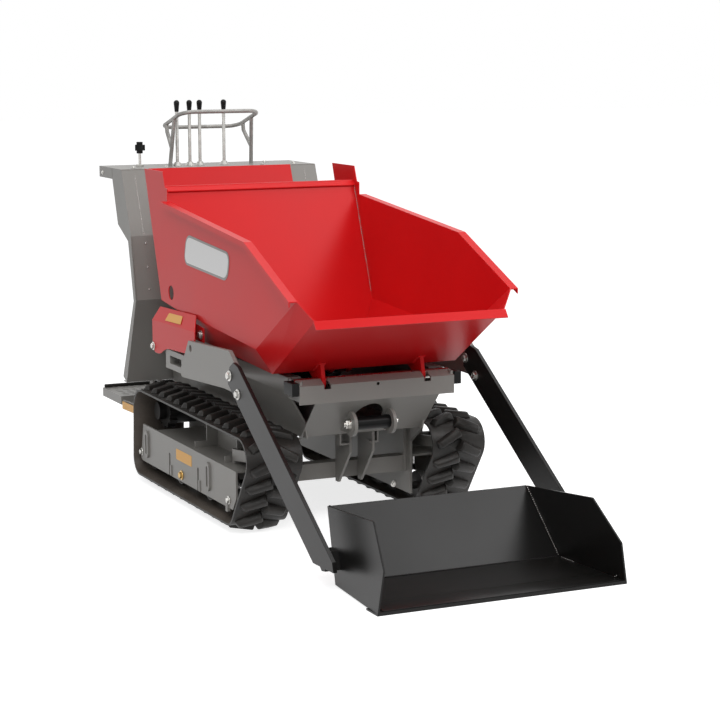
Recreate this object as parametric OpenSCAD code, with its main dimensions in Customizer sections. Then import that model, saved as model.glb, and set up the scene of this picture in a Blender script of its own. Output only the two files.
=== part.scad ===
// Tracked site dumper with a tipping skip and a self-loading front shovel.
// Millimetres. +X is the direction of travel, +Y the operator's left, +Z up.
// The origin is on the ground, in the middle of the machine.

/* [Skip] */
// Width over the two side plates
skip_w = 690; // [640:1:700]
// Sheet thickness of the skip
skip_wall = 3; // [2.5:0.5:4]
// Height of the floor's underside above the ground, at the front corner
skip_floor_z = 504; // [500:1:515]
// Place of the floor's front corner along the machine
skip_floor_x = 288; // [270:1:300]
// Width of the floor pan
skip_floor_w = 608; // [560:1:620]
// Height of the pouring lip above the floor
skip_lip_rise = 194; // [170:1:200]
// Reach of the pouring lip in front of the floor
skip_lip_reach = 311; // [290:1:330]
// Depth of the strip folded down along the pouring lip
skip_lip_fold = 28; // [15:1:35]
// Height of the back wall's top edge above the floor
skip_back_h = 504; // [450:1:520]
// Width of the flange along the side plates' top edges
skip_flange = 23; // [15:1:24]
// Depth of that flange's turned-down edge
skip_flange_drop = 16; // [10:1:20]
// Diameter of the sling holes in the skip's rear corners
sling_hole_d = 48; // [30:1:50]

/* [Skip hinge and tipping] */
// Place of the skip's hinge shaft along the machine
hinge_x = 328; // [322:1:330]
// Height of the skip's hinge shaft
hinge_z = 476; // [474:1:480]
// Diameter of the hinge shaft
hinge_d = 30; // [24:1:34]
// Distance of each hinge lug from the middle
hinge_lug_y = 165; // [120:1:190]
// Thickness of the lugs
lug_t = 12; // [8:1:16]
// Diameter of the tipping cylinder's barrel
tip_barrel_d = 56; // [45:1:62]
// Diameter of the tipping cylinder's rod
tip_rod_d = 28; // [20:1:32]
// Diameter of the pins at both cylinders' ends
cylinder_pin_d = 20; // [16:1:24]
// Radial running clearance of pins and rods
fit_gap = 0.05; // [0.03:0.01:0.1]

/* [Chassis] */
// Width over the chassis rails
frame_w = 510; // [480:1:540]
// Diameter of the roller on the front tow pin
tow_roller_d = 40; // [24:1:50]
// Place of the front beam's face along the machine
beam_x = 377; // [375:1:384]
// Depth of the front beam's face
beam_drop = 70; // [60:1:80]
// Diameter of the hole in the middle of the front beam
beam_hole_d = 10; // [6:1:16]
// Height of the chassis rails' top
frame_top_z = 490; // [484:1:492]
// Height of the rails themselves
rail_h = 48; // [40:1:60]
// Plate thickness of the chassis
frame_t = 5; // [4:0.5:8]
// Width over the sloping flanks at their foot
frame_foot_w = 390; // [340:1:400]
// Height of the chassis floor
frame_foot_z = 300; // [280:1:320]
// Outside width of the side rails that carry the shovel's levers
outrigger_w = 752; // [740:1:756]
// Thickness of the red covers beside the engine
cover_t = 3; // [2:0.5:4]

/* [Tracks] */
// Width over both tracks
track_over_w = 780; // [770:1:800]
// Width of one rubber track
track_w = 180; // [160:1:200]
// Thickness of the rubber belt without its lugs
belt_t = 14; // [10:1:18]
// Height of the lugs
lug_h = 24; // [16:1:28]
// Number of lugs round each track
lug_count = 34; // [28:1:38]
// Radius of the drive sprocket, to the inside of the belt
sprocket_r = 62; // [56:1:70]
// Radius of the front idler, to the inside of the belt
idler_r = 54; // [48:1:60]
// Radius of the bottom rollers
roller_r = 45; // [40:1:48]
// Distance from one bottom roller to the next
roller_pitch = 262; // [240:1:270]
// Number of bottom rollers on each side
roller_count = 4; // [3:1:4]
// Place of the drive sprocket along the machine
sprocket_x = -645; // [-660:1:-630]
// Place of the front idler along the machine
idler_x = 243; // [230:1:260]
// Height of the sprocket's and idler's top run above the ground
track_h = 344; // [335:1:352]

/* [Shovel and arms] */
// Reach of the tabs from each arm to the shovel's back
shovel_tab = 66; // [50:1:80]
// Width of the shovel at its cutting edge
shovel_front_w = 760; // [700:1:766]
// Length of the shovel's floor
shovel_floor_l = 320; // [280:1:360]
// Plate thickness of the shovel
shovel_t = 5; // [4:0.5:8]
// Height of the shovel's back and sides
shovel_h = 224; // [200:1:250]
// Distance between the two lift arms' middle planes and the centre line
arm_y = 396; // [394:1:400]
// Thickness of an arm, and of a lever
arm_t = 12; // [8:1:12]
// Depth of the arm's flat bar
arm_depth = 92; // [80:1:100]
// Diameter of the lock-pin hole in each lever
lock_hole_d = 22; // [16:1:24]
// Place of the lift shaft along the machine
lift_x = -200; // [-215:1:-190]
// Height of the lift shaft
lift_z = 458; // [454:1:460]
// Diameter of the lift shaft
lift_d = 56; // [50:1:60]
// Length of the crank on the lift shaft
crank_l = 110; // [100:1:115]
// Diameter of the lift cylinder's barrel
lift_barrel_d = 50; // [42:1:52]
// Diameter of the lift cylinder's rod
lift_rod_d = 30; // [20:1:34]

/* [Console and platform] */
// Width of the console
console_w = 724; // [700:1:740]
// Height of the console's top
console_top_z = 1041; // [1000:1:1060]
// Depth of the console's top, from front to rear
console_depth = 242; // [200:1:260]
// Sheet thickness of the console
console_t = 3; // [2:0.5:4]
// Width of the red panel on the console
panel_w = 500; // [440:1:560]
// Width of the guard hoop round the levers
hoop_w = 290; // [260:1:320]
// Diameter of the guard hoop's bar
hoop_d = 14; // [10:1:16]
// Height of the guard hoop above the console
hoop_rise = 191; // [170:1:220]
// Height of the lever knobs' tops above the console
knob_rise = 229; // [200:1:250]
// Diameter of the lever rods
lever_d = 12; // [8:1:14]
// Width of the operator's platform
platform_w = 720; // [640:1:740]
// Depth of the operator's platform
platform_depth = 220; // [190:1:226]
// Height of the platform's tread
platform_z = 245; // [235:1:260]
// Depth of the platform's turned-down edge
platform_drop = 30; // [20:1:40]

/* [Engine] */
// Width of the engine over its covers
engine_w = 360; // [340:1:380]
// Depth of the crankcase
engine_depth = 230; // [200:1:240]
// Height of the engine's mounting plate
engine_z = 410; // [405:1:420]

/* [Hidden] */
$fn = 48;
paint_red = [0.80, 0.08, 0.07];
paint_grey = [0.50, 0.49, 0.46];
paint_black = [0.16, 0.15, 0.15];
rubber = [0.13, 0.12, 0.11];
zinc = [0.75, 0.74, 0.70];
plastic = [0.08, 0.08, 0.08];
knob_top_z = console_top_z + knob_rise;
half_skip = skip_w / 2;
half_floor = skip_floor_w / 2;
shovel_back_w = 2 * (arm_y - arm_t - shovel_tab);
half_frame = frame_w / 2;
half_foot = frame_foot_w / 2;
half_out = outrigger_w / 2;
half_console = console_w / 2;
clear = 0.3;

// Places on the skip's side outline, in X and Z
lip_x = skip_floor_x + skip_lip_reach;
lip_z = skip_floor_z + skip_lip_rise;
back_top_z = skip_floor_z + skip_back_h;
floor_rear = [-365, skip_floor_z + 26];
back_lean = 0.368;
back_top = [floor_rear[0] - back_lean * (back_top_z - floor_rear[1]), back_top_z];
rim_start = [-495, back_top_z - 47];
rim_kink = [229, back_top_z - 115];
rim_end = [565, back_top_z - 254];
side_low_front = [260, skip_floor_z + 73];
side_low_rear = [-395, skip_floor_z + 112];
wing_top = [-715, back_top_z + 47];
wing_front = [-535, back_top_z + 47];
wing_low = [-566, skip_floor_z + 126];
pan_edge = 23;

// The tracks' running gear
track_in_y = track_over_w / 2 - track_w;
track_mid_y = track_in_y + track_w / 2;
tread = belt_t + lug_h;
roller_z = roller_r + tread;
first_roller_x = -670;
last_roller_x = first_roller_x + roller_pitch * (roller_count - 1);
sprocket_z = track_h - tread - sprocket_r;
idler_z = track_h - 8 - tread - idler_r;
frame_plate_y = track_over_w / 2 - 8;
inner_plate_y = half_foot + frame_t;

// The two cylinders, from base pin to rod eye
tip_base = [-250, 335];
tip_eye = [90, 478];
lift_base = [-610, 338];
crank_angle = -140;
lift_eye = [lift_x + crank_l * cos(crank_angle), lift_z + crank_l * sin(crank_angle)];
lift_y = -105;

// Extrudes an outline drawn in X and Z from one Y to another
module slab(y0, y1) {
  translate([0, y1, 0]) rotate([90, 0, 0]) linear_extrude(y1 - y0) children();
}

// Extrudes an outline drawn in Y and Z from one X to another
module run(x0, x1) {
  translate([x0, 0, 0]) rotate([90, 0, 90]) linear_extrude(x1 - x0) children();
}

// A round bar along Y
module bar_y(p, d, y0, y1) {
  translate([p[0], y1, p[1]]) rotate([90, 0, 0]) cylinder(d = d, h = y1 - y0);
}

// Mirrors to the right side of the machine
module right_side() {
  mirror([0, 1, 0]) children();
}

// A band of even thickness along a line of points
module band(points, t) {
  n = len(points);
  polygon(concat(points, [for (i = [n - 1:-1:0]) points[i] - [0, t]]));
}

module rounded(w, h, r) {
  hull_free = [for (c = [[w / 2 - r, h / 2 - r, 0], [r - w / 2, h / 2 - r, 90],
    [r - w / 2, r - h / 2, 180], [w / 2 - r, r - h / 2, 270]])
    for (a = [0:15:90]) [c[0] + r * cos(c[2] + a), c[1] + r * sin(c[2] + a)]];
  polygon(hull_free);
}

// Corners of the skip's outside on the left, and those of the space inside it
skip_outside = [
  [back_top[0], half_skip, back_top[1]], [rim_kink[0], half_skip, rim_kink[1]],
  [rim_end[0], half_skip, rim_end[1]], [lip_x, half_floor, lip_z],
  [skip_floor_x, half_floor, skip_floor_z], [floor_rear[0], half_floor, floor_rear[1]],
  [floor_rear[0], half_floor, floor_rear[1] + pan_edge],
  [skip_floor_x - 22, half_floor, skip_floor_z + pan_edge],
  [side_low_front[0], half_skip, side_low_front[1]], [side_low_rear[0], half_skip, side_low_rear[1]]
];
lip_slope = skip_lip_rise / skip_lip_reach;
fold_slope = (rim_end[1] - side_low_front[1]) / (rim_end[0] - side_low_front[0]);
open_top = back_top_z + 200;
open_front = lip_x + 200;
skip_inside = [
  [back_top[0] - back_lean * 200 + 1.1 * skip_wall, half_skip - skip_wall, open_top],
  [open_front, half_skip - skip_wall, open_top],
  [open_front, half_skip - skip_wall,
    side_low_front[1] + fold_slope * (open_front - side_low_front[0]) + skip_wall],
  [open_front, half_floor - skip_wall, skip_floor_z + lip_slope * (open_front - skip_floor_x) + skip_wall],
  [skip_floor_x, half_floor - skip_wall, skip_floor_z + skip_wall],
  [floor_rear[0] + 1.1 * skip_wall, half_floor - skip_wall, floor_rear[1] + skip_wall],
  [floor_rear[0] + 1.1 * skip_wall, half_floor - skip_wall, floor_rear[1] + pan_edge],
  [skip_floor_x - 22, half_floor - skip_wall, skip_floor_z + pan_edge],
  [side_low_front[0], half_skip - skip_wall, side_low_front[1] + skip_wall],
  [side_low_rear[0] + skip_wall, half_skip - skip_wall, side_low_rear[1] + skip_wall]
];

module corner_hull(points) {
  hull() {
    for (p = points) {
      for (s = [-1, 1]) {
        translate([p[0], s * p[1], p[2]]) cube(0.01, center = true);
      }
    }
  }
}

module skip_rim() {
  rim = [rim_start, rim_kink, rim_end];
  y1 = half_skip + skip_flange;
  slab(half_skip - skip_wall, y1) band(rim, skip_wall);
  slab(y1 - skip_wall, y1) band(rim, skip_flange_drop);
}

module skip_lip() {
  across = [0.6, -0.8];
  slab(-half_floor - 3, half_floor + 3) polygon([[lip_x, lip_z] - [3, 2], [lip_x, lip_z] + [2, 2],
    [lip_x, lip_z] + [2, 2] + across * skip_lip_fold, [lip_x, lip_z] + [-1, 0] + across * skip_lip_fold]);
}

module skip_wing() {
  back_low = [floor_rear[0] - back_lean * (side_low_rear[1] - floor_rear[1]), side_low_rear[1]];
  slab(half_skip - skip_wall, half_skip) difference() {
    polygon([wing_top, wing_front, rim_start, back_low + [20, 0], back_low + [20, -6], wing_low]);
    translate([-472, 664]) circle(d = sling_hole_d);
  }
}

module skip_shell() {
  color(paint_red) {
    difference() {
      corner_hull(skip_outside);
      corner_hull(skip_inside);
      slab(-half_skip - 1, half_skip + 1)
        polygon([rim_start, rim_kink, rim_end, rim_end + [100, 100], rim_kink + [0, 200],
          rim_start + [0, 200]]);
    }
    for (s = [0, 1]) {
      mirror([0, s, 0]) {
        skip_rim();
        skip_wing();
      }
    }
    skip_lip();
    slab(-half_skip + skip_wall, half_skip - skip_wall)
      polygon([back_top, back_top + [18, -16], back_top + [18, -19], back_top + [-2, -3]]);
  }
}

module ring_lug(centre, bore, outer, top) {
  difference() {
    union() {
      translate(centre) circle(d = outer);
      polygon(top);
    }
    translate(centre) circle(d = bore);
  }
}

function lug_foot_z(x) = x > skip_floor_x ? skip_floor_z + lip_slope * (x - skip_floor_x)
  : skip_floor_z + (skip_floor_x - x) * (floor_rear[1] - skip_floor_z) / (skip_floor_x - floor_rear[0]);

module skip_lugs() {
  hinge_bore = hinge_d + 2 * fit_gap;
  foot = [[skip_floor_x - 60, lug_foot_z(skip_floor_x - 60) - clear], [skip_floor_x, skip_floor_z - clear],
    [hinge_x + 8, lug_foot_z(hinge_x + 8) - clear], [hinge_x + 21, hinge_z + 4], [hinge_x - 21, hinge_z - 4]];
  color(paint_red) {
    for (y = [-hinge_lug_y, hinge_lug_y]) {
      slab(y - lug_t / 2, y + lug_t / 2) ring_lug([hinge_x, hinge_z], hinge_bore, hinge_d + 16, foot);
    }
    for (s = [-1, 1]) {
      slab(s * 30 - 5, s * 30 + 5) polygon([[tip_eye[0] - 40, lug_foot_z(tip_eye[0] - 40) - clear],
        [tip_eye[0] + 60, lug_foot_z(tip_eye[0] + 60) - clear], [tip_eye[0] + 17, tip_eye[1] - 12],
        [tip_eye[0], tip_eye[1] - 19], [tip_eye[0] - 17, tip_eye[1] - 12]]);
      slab(s * 38 - 3, s * 38 + 3) translate(tip_eye) circle(d = cylinder_pin_d + 8);
    }
  }
}

// Chassis
module chassis_rail() {
  y1 = half_frame;
  z0 = frame_top_z - rail_h;
  knee = [track_in_y - 6, track_h + 8];
  run(-870, hinge_x - 40) polygon([[y1 - 42, frame_top_z], [y1, frame_top_z], [y1, z0], knee,
    [half_foot, frame_foot_z], [half_foot - frame_t, frame_foot_z], knee - [frame_t, -1],
    [y1 - frame_t, z0 + 2], [y1 - frame_t, frame_top_z - frame_t], [y1 - 42, frame_top_z - frame_t]]);
}

front_top = [[beam_x - 30, frame_top_z], [beam_x, frame_top_z - 15], [beam_x, frame_top_z - beam_drop]];
plate_foot = [beam_x - 113, frame_foot_z + 1];

tow_pin = [beam_x - 32, 345];
ear_y = [-74, 55];
ear_t = 10;
arch_y = -9.5;

module tow_ear(y) {
  slab(y - ear_t / 2, y + ear_t / 2) difference() {
    union() {
      translate(tow_pin) circle(r = 38);
      polygon([tow_pin + [-8, 31], tow_pin + [-60, 24], tow_pin + [-78, -31], tow_pin + [-8, -30]]);
    }
    translate(tow_pin) circle(d = 16 + 2 * clear);
    polygon([[plate_foot[0] - 20, plate_foot[1] - 20], plate_foot - [3, 0],
      front_top[2] - [3, 0], [plate_foot[0] - 20, front_top[2][1]]]);
  }
}

module tow_hook(y, inward) {
  x = plate_foot[0] - 34;
  translate([x, y - 2.5, frame_foot_z - 36]) cube([30, 5, 39]);
  translate([x, min(y, y + inward), frame_foot_z - 36]) cube([30, abs(inward), 5]);
}

module front_beam() {
  difference() {
    slab(-half_frame, half_frame) polygon(concat(front_top, [front_top[2] - [frame_t, 0],
      front_top[1] - [frame_t, 4], front_top[0] - [2, frame_t]]));
    for (y = [-hinge_lug_y, hinge_lug_y]) {
      translate([beam_x - 50, y - lug_t / 2 - 5, frame_top_z - 28]) cube([80, lug_t + 10, 60]);
    }
    translate([beam_x - 40, 0, frame_top_z - 23]) rotate([0, 90, 0]) cylinder(d = beam_hole_d, h = 80);
  }
  difference() {
    slab(-204, 204) polygon([front_top[2] + [0, 0.5], plate_foot, plate_foot - [frame_t, 0],
      front_top[2] + [-frame_t - 1, 0.5]]);
    run(plate_foot[0] - 40, plate_foot[0] + 160) polygon(concat(
      [[arch_y - 50, plate_foot[1] + 12], [arch_y + 50, plate_foot[1] + 12]],
      [for (a = [0:10:180]) [arch_y, plate_foot[1] + 54] + 50 * [cos(a), sin(a)]]));
  }
  for (y = ear_y) {
    tow_ear(y);
  }
  tow_hook(-71, 30);
  tow_hook(54, -26);
  for (s = [-1, 1]) {
    slab(s * (half_frame - 6) - 4, s * (half_frame - 6) + 4) difference() {
      translate([hinge_x - 42, frame_top_z - 62]) square([86, 60]);
      translate([hinge_x, hinge_z]) circle(d = hinge_d + 2 * fit_gap);
    }
  }
}

module cross_tube(x, y, z, w, h, t) {
  slab(-y, y) difference() {
    translate([x, z]) square([w, h]);
    translate([x + t, z + t]) square([w - 2 * t, h - 2 * t]);
  }
}

module outrigger() {
  z0 = lift_z - 34;
  difference() {
    slab(half_out - 44, half_out) translate([-870, z0]) square([718, 62]);
    slab(half_out - 40, half_out + 1) translate([-700, z0 + 8]) square([160, 44]);
  }
  slab(half_frame, half_out - 44) translate([-420, z0 + 2]) square([40, 40]);
  slab(half_frame, half_out - 44) translate([-860, z0 + 2]) square([110, 40]);
}

module cylinder_base(p, y) {
  for (s = [-1, 1]) {
    slab(y + s * 38 - 5, y + s * 38 + 5) polygon([[p[0] - 34, frame_foot_z + frame_t],
      [p[0] + 34, frame_foot_z + frame_t], p + [18, 16], p + [-18, 16]]);
  }
  bar_y(p, cylinder_pin_d, y - 50, y + 50);
}

module chassis_parts() {
  front_beam();
  for (s = [0, 1]) {
    mirror([0, s, 0]) {
      chassis_rail();
      outrigger();
      for (x = [-560, 110]) {
        slab(half_foot - frame_t, inner_plate_y - clear) translate([x, 142]) square([50, frame_foot_z - 142]);
      }
    }
  }
  slab(-half_foot, half_foot) translate([-885, frame_foot_z]) square([plate_foot[0] + 885, frame_t]);
  cross_tube(112, half_foot - frame_t, 142, 44, 50, 4);
  cross_tube(-556, half_foot - frame_t, 142, 44, 50, 4);
  for (y = [-38, 38]) {
    slab(y - 4, y + 4) polygon([[156, 132], [176, 132], [plate_foot[0] - 2, 240],
      [plate_foot[0] - 2, frame_foot_z], [156, frame_foot_z]]);
  }
  cylinder_base(tip_base, 0);
  cylinder_base(lift_base, lift_y);
  slab(-half_foot - 15, half_foot + 15) translate([-760, engine_z - 8]) square([310, 8]);
  for (x = [-740, -470]) {
    for (s = [-1, 1]) {
      slab(s * 150 - 15, s * 150 + 15) translate([x, frame_foot_z + frame_t])
        square([20, engine_z - 8 - frame_foot_z - frame_t]);
    }
  }
}

module chassis_frame() {
  color(paint_grey) difference() {
    chassis_parts();
    bar_y([lift_x, lift_z], lift_d + 2 * fit_gap, -half_out - 1, half_out + 1);
    slab(-400, 400) polygon([[-1000, 605], console_line[2] + [clear, 0], console_line[3] + [clear, 0],
      console_line[3] + [clear, -40], [-1000, 200]]);
  }
}

module front_pin() {
  y0 = ear_y[0] - ear_t / 2;
  y1 = ear_y[1] + ear_t / 2;
  color(zinc) {
    bar_y(tow_pin, 16, y0 - 22, y1 + 18);
    bar_y(tow_pin, 38, y0 - 3, y0);
    bar_y(tow_pin, 30, y0 - 6, y0 - 3);
    bar_y(tow_pin, 27, y0 - 16, y0 - 6, $fn = 6);
    bar_y(tow_pin, 38, y1, y1 + 3);
    bar_y(tow_pin, 27, y1 + 3, y1 + 13, $fn = 6);
  }
  color(plastic) bar_y(tow_pin, tow_roller_d, y0 + ear_t, y1 - ear_t);
}

module skip_hinge_shaft() {
  color(zinc) bar_y([hinge_x, hinge_z], hinge_d, -half_frame - 2, half_frame + 2);
  color(plastic) {
    for (s = [-1, 1]) {
      slab(s * (half_frame + 13) - 11, s * (half_frame + 13) + 11)
        translate([hinge_x - 15, hinge_z - 29]) square([63, 38]);
    }
  }
}

module side_cover() {
  y0 = half_skip + 5.5;
  y1 = half_out + cover_t;
  run(-590, -250) polygon([[y0, 612], [y1 - 8, 582], [y1, 572], [y1, 462], [half_out, 462],
    [half_out, 571], [y1 - 10, 580], [y0, 612 - cover_t]]);
}

module side_cover_right() { color(paint_red) right_side() side_cover(); }
module side_cover_left() { color(paint_red) side_cover(); }

// Track outline: four wheels in turn, from the front bottom roller round to the rear one
wheels = [
  [last_roller_x, roller_z, roller_r], [idler_x, idler_z, idler_r],
  [sprocket_x, sprocket_z, sprocket_r], [first_roller_x, roller_z, roller_r]
];
function heading(i) = let (a = wheels[i], b = wheels[(i + 1) % 4], d = norm([b[0] - a[0], b[1] - a[1]]))
  atan2(b[1] - a[1], b[0] - a[0]) - 90 + asin((a[2] - b[2]) / d) * 1;
function turn_from(i) = heading((i + 3) % 4);
function turn_to(i) = let (a = turn_from(i), b = heading(i)) b < a ? b + 360 : b;
function wheel_point(i, angle, h) = [wheels[i][0], wheels[i][1]]
  + (wheels[i][2] + h) * [cos(angle), sin(angle)];
function arc_len(i, h) = (wheels[i][2] + h) * (turn_to(i) - turn_from(i)) * PI / 180;
function straight_len(i) = let (a = wheels[i], b = wheels[(i + 1) % 4], d = norm([b[0] - a[0], b[1] - a[1]]))
  sqrt(d * d - (a[2] - b[2]) * (a[2] - b[2]));
function lap_len(i) = i == 4 ? 0 : arc_len(i, belt_t) + straight_len(i) + lap_len(i + 1);
track_lap = lap_len(0);
function at(s, h, i = 0) = let (a = arc_len(i, belt_t), b = straight_len(i))
  s < a ? wheel_point(i, turn_from(i) + (turn_to(i) - turn_from(i)) * s / a, h)
  : s < a + b ? let (p = wheel_point(i, turn_to(i), h), q = wheel_point((i + 1) % 4, turn_to(i), h))
    p + (q - p) * (s - a) / b
  : at(s - a - b, h, (i + 1) % 4);
lug_pitch = track_lap / lug_count;

module belt_inside() {
  polygon([for (i = [0:3]) for (k = [0:16])
    wheel_point(i, turn_from(i) + (turn_to(i) - turn_from(i)) * k / 16, 0)]);
}

module lug_strip(phase) {
  difference() {
    polygon([for (k = [0:lug_count - 1]) let (s = (k + phase) * lug_pitch)
      each [at(s, belt_t), at(s + 0.25 * lug_pitch, belt_t), at(s + 0.34 * lug_pitch, belt_t + lug_h),
        at(s + 0.66 * lug_pitch, belt_t + lug_h), at(s + 0.75 * lug_pitch, belt_t)]]);
    belt_inside();
  }
}

module track() {
  edge = track_w * 0.3;
  slab(track_in_y, track_in_y + edge) lug_strip(0);
  slab(track_in_y + edge, track_in_y + track_w - edge) lug_strip(0.5);
  slab(track_in_y + track_w - edge, track_in_y + track_w) lug_strip(0);
}

module track_right() { color(rubber) right_side() track(); }
module track_left() { color(rubber) track(); }

module tie_loop(x) {
  y1 = frame_plate_y;
  slab(y1, y1 + 6) translate([x, 136]) difference() {
    rounded(36, 92, 17);
    rounded(14, 66, 6);
  }
}

module track_frame() {
  y1 = frame_plate_y;
  z1 = 195;
  slab(y1 - 6, y1) difference() {
    polygon([[-694, 78], [-680, 72], [last_roller_x + 36, 72], [last_roller_x + 64, 110],
      [last_roller_x + 64, z1], [-668, z1 + 4]]);
    for (x = [first_roller_x + roller_pitch, first_roller_x + 2 * roller_pitch]) {
      translate([x - 7, 60]) square([14, 80]);
      translate([x, 140]) circle(r = 7);
    }
  }
  tie_loop(-628);
  tie_loop(-53);
  for (x = [first_roller_x + roller_pitch, first_roller_x + 2 * roller_pitch]) {
    slab(y1 - 6, y1 + 3) translate([x + 9, 74]) square([12, 34]);
  }
  slab(y1 - 6, y1 + 4) translate([last_roller_x - 6, 76]) rounded(18, 34, 4);
  slab(inner_plate_y, inner_plate_y + 8) polygon([[-694, 74], [last_roller_x + 70, 74],
    [last_roller_x + 70, 240], [plate_foot[0], frame_foot_z - 4], [-660, frame_foot_z - 4], [-694, 240]]);
  slab(inner_plate_y + 8, y1 - 6) translate([-560, z1 - 6]) square([last_roller_x + 618, 6]);
  slab(track_mid_y - 22, track_mid_y - 17) translate([-228, z1 - 2]) square([260, 86]);
  for (x = [-231, 30]) {
    slab(track_mid_y - 22, track_mid_y + 60) translate([x, z1 - 2]) square([5, 22]);
    slab(track_mid_y - 22, track_mid_y + 20) translate([x, z1 + 18]) square([5, 66]);
  }
  slab(track_mid_y - 22, track_mid_y + 20) translate([-228, z1 + 79]) square([260, 5]);
  bar_y([idler_x, idler_z], 30, track_mid_y - 36, track_mid_y + 40);
  for (s = [-1, 1]) {
    y = track_mid_y + s * 35 + 1;
    slab(y - 4, y + 4) polygon([[58, z1 + 8], [idler_x, idler_z - 16], [idler_x + 18, idler_z],
      [idler_x, idler_z + 16], [58, z1 + 44]]);
  }
  slab(track_mid_y - 38, track_mid_y + 40) translate([46, z1 - 1]) square([15, 45]);
}

module track_frame_right() { color(paint_grey) right_side() track_frame(); }
module track_frame_left() { color(paint_grey) track_frame(); }

module sprocket() {
  teeth = 11;
  slab(track_mid_y - 14, track_mid_y + 14) difference() {
    circle_r = sprocket_r - 8;
    translate([sprocket_x, sprocket_z]) union() {
      circle(r = circle_r);
      for (k = [0:teeth - 1]) {
        rotate(k * 360 / teeth) translate([circle_r - 2, -7]) square([8.8, 14]);
      }
    }
  }
  bar_y([sprocket_x, sprocket_z], 92, inner_plate_y + 8, track_mid_y - 14);
  bar_y([sprocket_x, sprocket_z], 60, track_mid_y + 14, track_mid_y + 40);
}

module drive_motor() {
  bar_y([sprocket_x, sprocket_z], 110, inner_plate_y - 14, inner_plate_y - clear);
  bar_y([sprocket_x, sprocket_z], 74, inner_plate_y - 90, inner_plate_y - 14);
}

module drive_motor_right() { color(plastic) right_side() drive_motor(); }
module drive_motor_left() { color(plastic) drive_motor(); }

module sprocket_right() { color(plastic) right_side() sprocket(); }
module sprocket_left() { color(plastic) sprocket(); }

module idler() {
  difference() {
    union() {
      bar_y([idler_x, idler_z], 2 * idler_r - 2 * clear, track_mid_y - 25, track_mid_y - 10);
      bar_y([idler_x, idler_z], 2 * idler_r - 2 * clear, track_mid_y + 10, track_mid_y + 25);
      bar_y([idler_x, idler_z], 60, track_mid_y - 28, track_mid_y + 28);
    }
    bar_y([idler_x, idler_z], 30 + 2 * fit_gap, 0, track_over_w);
  }
}

module idler_right() { color(plastic) right_side() idler(); }
module idler_left() { color(plastic) idler(); }

module rollers() {
  for (k = [0:roller_count - 1]) {
    p = [first_roller_x + k * roller_pitch, roller_z];
    for (s = [-1, 1]) {
      bar_y(p, 2 * roller_r - 2 * clear, track_mid_y + s * 32 - 11, track_mid_y + s * 32 + 11);
    }
    bar_y(p, 44, track_mid_y - 40, track_mid_y + 40);
    bar_y(p, 24, inner_plate_y + 8, frame_plate_y - 6);
  }
}

module rollers_right() { color(plastic) right_side() rollers(); }
module rollers_left() { color(plastic) rollers(); }

// Console
console_front_x = -907;
console_line = [[console_front_x, console_top_z - console_t], [-816, 820], [-777, 605], [-893, 305]];
console_rear_x = console_front_x - console_depth;

module console_bulkhead() {
  n = len(console_line);
  t = console_t * 1.1;
  color(paint_grey) {
    slab(-half_console, half_console)
      polygon(concat(console_line, [for (i = [n - 1:-1:0]) console_line[i] - [t, 0]]));
    for (s = [0, 1]) {
      mirror([0, s, 0]) {
        slab(half_console - console_t, half_console) polygon(concat(console_line,
          [[-930, 322], [-803, 600], [-850, 800], [-955, 850], [-1006, 1000],
          [-1006, console_top_z - console_t]]));
      }
    }
    slab(-half_console, half_console) translate([-925, 305]) square([32, console_t]);
  }
}

module console_top() {
  color(paint_grey) {
    difference() {
      translate([console_rear_x, -half_console, console_top_z - 38]) cube([console_depth, console_w, 38]);
      translate([console_rear_x + console_t, -half_console + console_t, console_top_z - 39])
        cube([console_depth - 2 * console_t, console_w - 2 * console_t, 39 - console_t]);
      translate([-1009, -half_console - 1, console_top_z - 39])
        cube([200, console_w + 2, 39 - console_t]);
    }
  }
}

module console_panel() {
  line = [for (i = [0:1]) console_line[i] + [clear, i == 0 ? console_t + 1 : 0]];
  color(paint_red) {
    slab(-panel_w / 2 - 14, panel_w / 2 + 14)
      polygon([line[0], line[0] + [console_t, 0], line[1] + [console_t, 0], line[1]]);
  }
}

lever_x = -1031;
lever_ys = [-113, -66, -28, 63];

module lever_knob(z) {
  translate([0, 0, z]) cylinder(d1 = 14, d2 = 20, h = 31);
  translate([0, 0, z + 31]) rotate_extrude() intersection() {
    circle(d = 20);
    square(20);
  }
}

module control_levers() {
  for (y = lever_ys) {
    translate([lever_x, y, 0]) {
      color(zinc) translate([0, 0, console_top_z + clear]) cylinder(d = lever_d, h = knob_rise - 36);
      color(plastic) translate([0, 0, console_top_z + clear]) cylinder(d1 = 34, d2 = 20, h = 12);
      color(plastic) lever_knob(knob_top_z - 41);
    }
  }
}

module throttle_lever() {
  translate([lever_x, 110 - half_console, console_top_z + clear]) {
    color(zinc) {
      cylinder(d = 10, h = 52);
      cylinder(d = 26, h = 6, $fn = 6);
    }
    color(plastic) {
      translate([0, 0, 46]) cylinder(d = 22, h = 40);
      translate([0, 0, 56]) linear_extrude(20)
        polygon([for (a = [0:8:352]) (16 + 3 * cos(5 * a)) * [cos(a), sin(a)]]);
    }
  }
}

module hoop_bar(a, b) {
  d = b - a;
  translate(a) rotate([0, acos(d[2] / norm(d)), atan2(d[1], d[0])]) cylinder(d = hoop_d, h = norm(d));
}

hoop_l = 228;
hoop_tilt = atan2(62, 220);
hoop_mid = [lever_x, 13, console_top_z + hoop_rise - 31];

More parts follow.
